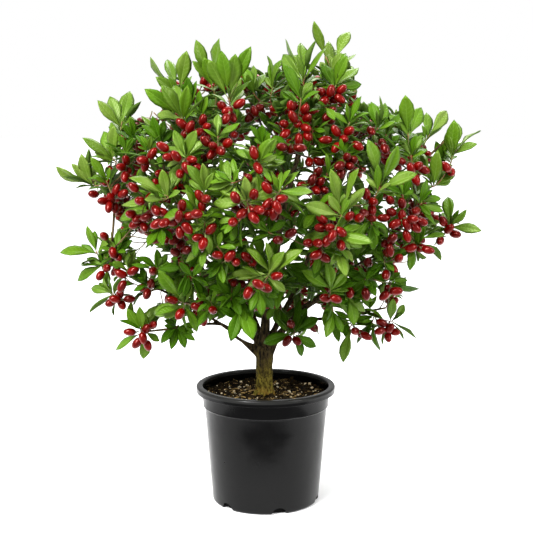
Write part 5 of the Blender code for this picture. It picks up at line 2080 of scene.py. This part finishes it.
def grow_crown(limbs, wood, looks):
    stems = mass_stems(limbs)
    skeleton = Skeleton(wood, stems)
    shoots = hero_shoots(skeleton)
    taken = [np.array(shoot.tip) for shoot in shoots]
    shoots += rule_shoots(wood, skeleton, taken)
    shoots += filling_shoots(wood, skeleton, taken, FILLING_SHOOTS)
    skeleton.settle()
    crown = Crown(wood, limbs)
    dress(crown, shoots)
    closing_leaves(crown, skeleton)
    add_twigs(stems, skeleton, crown.side_shoots, looks)
    for i, leaves in enumerate(crown.leaves, 1):
        leaf_looks = [looks["greens"][i - 1], looks["ribs"][i - 1], looks["under"]]
        add_piece(f"leaves_{i}", leaves.mesh(f"leaves_{i}"), leaf_looks)
    for i, berries in enumerate(crown.berries, 1):
        add_piece(f"berries_{i}", berries.mesh(f"berries_{i}"), looks["reds"][i - 1])
    add_piece("berry_stalks", crown.stalks.mesh("berry_stalks"), looks["stalk"])


# Stage


def make_camera():
    data = bpy.data.cameras.new("camera")
    data.sensor_width = SENSOR
    data.lens = SENSOR * FOCAL_PIXELS / FRAME_PIXELS
    data.clip_end = 50
    camera = linked("camera", data)
    camera.location = CAMERA_AT
    camera.rotation_euler = (math.pi / 2 - CAMERA_PITCH, 0.0, 0.0)
    bpy.context.scene.camera = camera


def make_world():
    """A white backdrop, and a softer light than that from all round."""
    world = bpy.data.worlds.new("studio")
    world.use_nodes = True
    nodes, links = world.node_tree.nodes, world.node_tree.links
    around = nodes["Background"]
    backdrop = nodes.new("ShaderNodeBackground")
    for node, strength in ((around, AROUND_LIGHT), (backdrop, 1.0)):
        node.inputs["Color"].default_value = (1.0, 1.0, 1.0, 1.0)
        node.inputs["Strength"].default_value = strength
    choice = nodes.new("ShaderNodeMixShader")
    links.new(nodes.new("ShaderNodeLightPath").outputs["Is Camera Ray"], choice.inputs["Fac"])
    links.new(around.outputs["Background"], choice.inputs[1])
    links.new(backdrop.outputs["Background"], choice.inputs[2])
    links.new(choice.outputs["Shader"], nodes["World Output"].inputs["Surface"])
    bpy.context.scene.world = world
    bpy.context.scene.view_settings.view_transform = "Standard"


def make_floor():
    """A white floor that ends in front of the pot."""
    bm = bmesh.new()
    bmesh.ops.create_grid(bm, x_segments=1, y_segments=1, size=20)
    for vert in bm.verts:
        vert.co.y = max(vert.co.y, FLOOR_FRONT)
    mesh = bpy.data.meshes.new("floor")
    bm.to_mesh(mesh)
    bm.free()
    look = Nodes("floor", (0.985, 0.985, 0.985), 1.0, Specular_IOR_Level=0.0, Emission_Strength=FLOOR_GLOW)
    look.shader.inputs["Emission Color"].default_value = (1.0, 1.0, 1.0, 1.0)
    mesh.materials.append(look.material)
    linked("floor", mesh)


def make_lights():
    """The key light and the softboxes."""
    sun = bpy.data.lights.new("key", "SUN")
    sun.energy = KEY_LIGHT
    sun.angle = KEY_ANGLE
    linked("key", sun).rotation_euler = KEY_DIRECTION.to_track_quat("-Z", "Y").to_euler()
    for name, place, size, power in SOFTBOXES:
        light = bpy.data.lights.new(name, "AREA")
        light.shape = "RECTANGLE"
        light.size, light.size_y = size
        light.energy = power
        lamp = linked(name, light)
        lamp.location = place
        lamp.rotation_euler = (LIGHTS_AIM - Vector(place)).to_track_quat("-Z", "Y").to_euler()


def main():
    looks = {
        "twig": twig_look(),
        "shoot": shoot_look(),
        "stalk": stalk_look(),
        "under": under_look(),
        "greens": [leaf_look(f"leaf_{green}", *values) for green, *values in GREENS],
        "ribs": [rib_look(f"rib_{green}", light) for green, _, light, _, _ in GREENS],
        "reds": [
            # A lit and a shaded copy of the berries' red: painted light and shade
            berry_look("berry_lit", (0.080, 0.0003, 0.0002), (0.195, 0.0012, 0.0008)),
            berry_look("berry_shaded", (0.046, 0.0002, 0.0001), (0.100, 0.0006, 0.0004)),
        ],
    }
    make_pot(plastic_look())
    make_soil(soil_look())
    rng = random.Random(SEED)
    crumbs = [lump(1, rng, 0.9) for _ in range(6)]
    for kind, look in zip(STREWN, (crumb_look(), perlite_look(), chip_look())):
        strew(kind, look, rng, crumbs)
    make_fibres(chip_look(), rng)
    limbs, fine = make_limbs()
    wood = Wood(limbs, fine)
    make_bark(wood, bark_look())
    grow_crown(limbs, wood, looks)
    make_camera()
    make_world()
    make_floor()
    make_lights()


main()
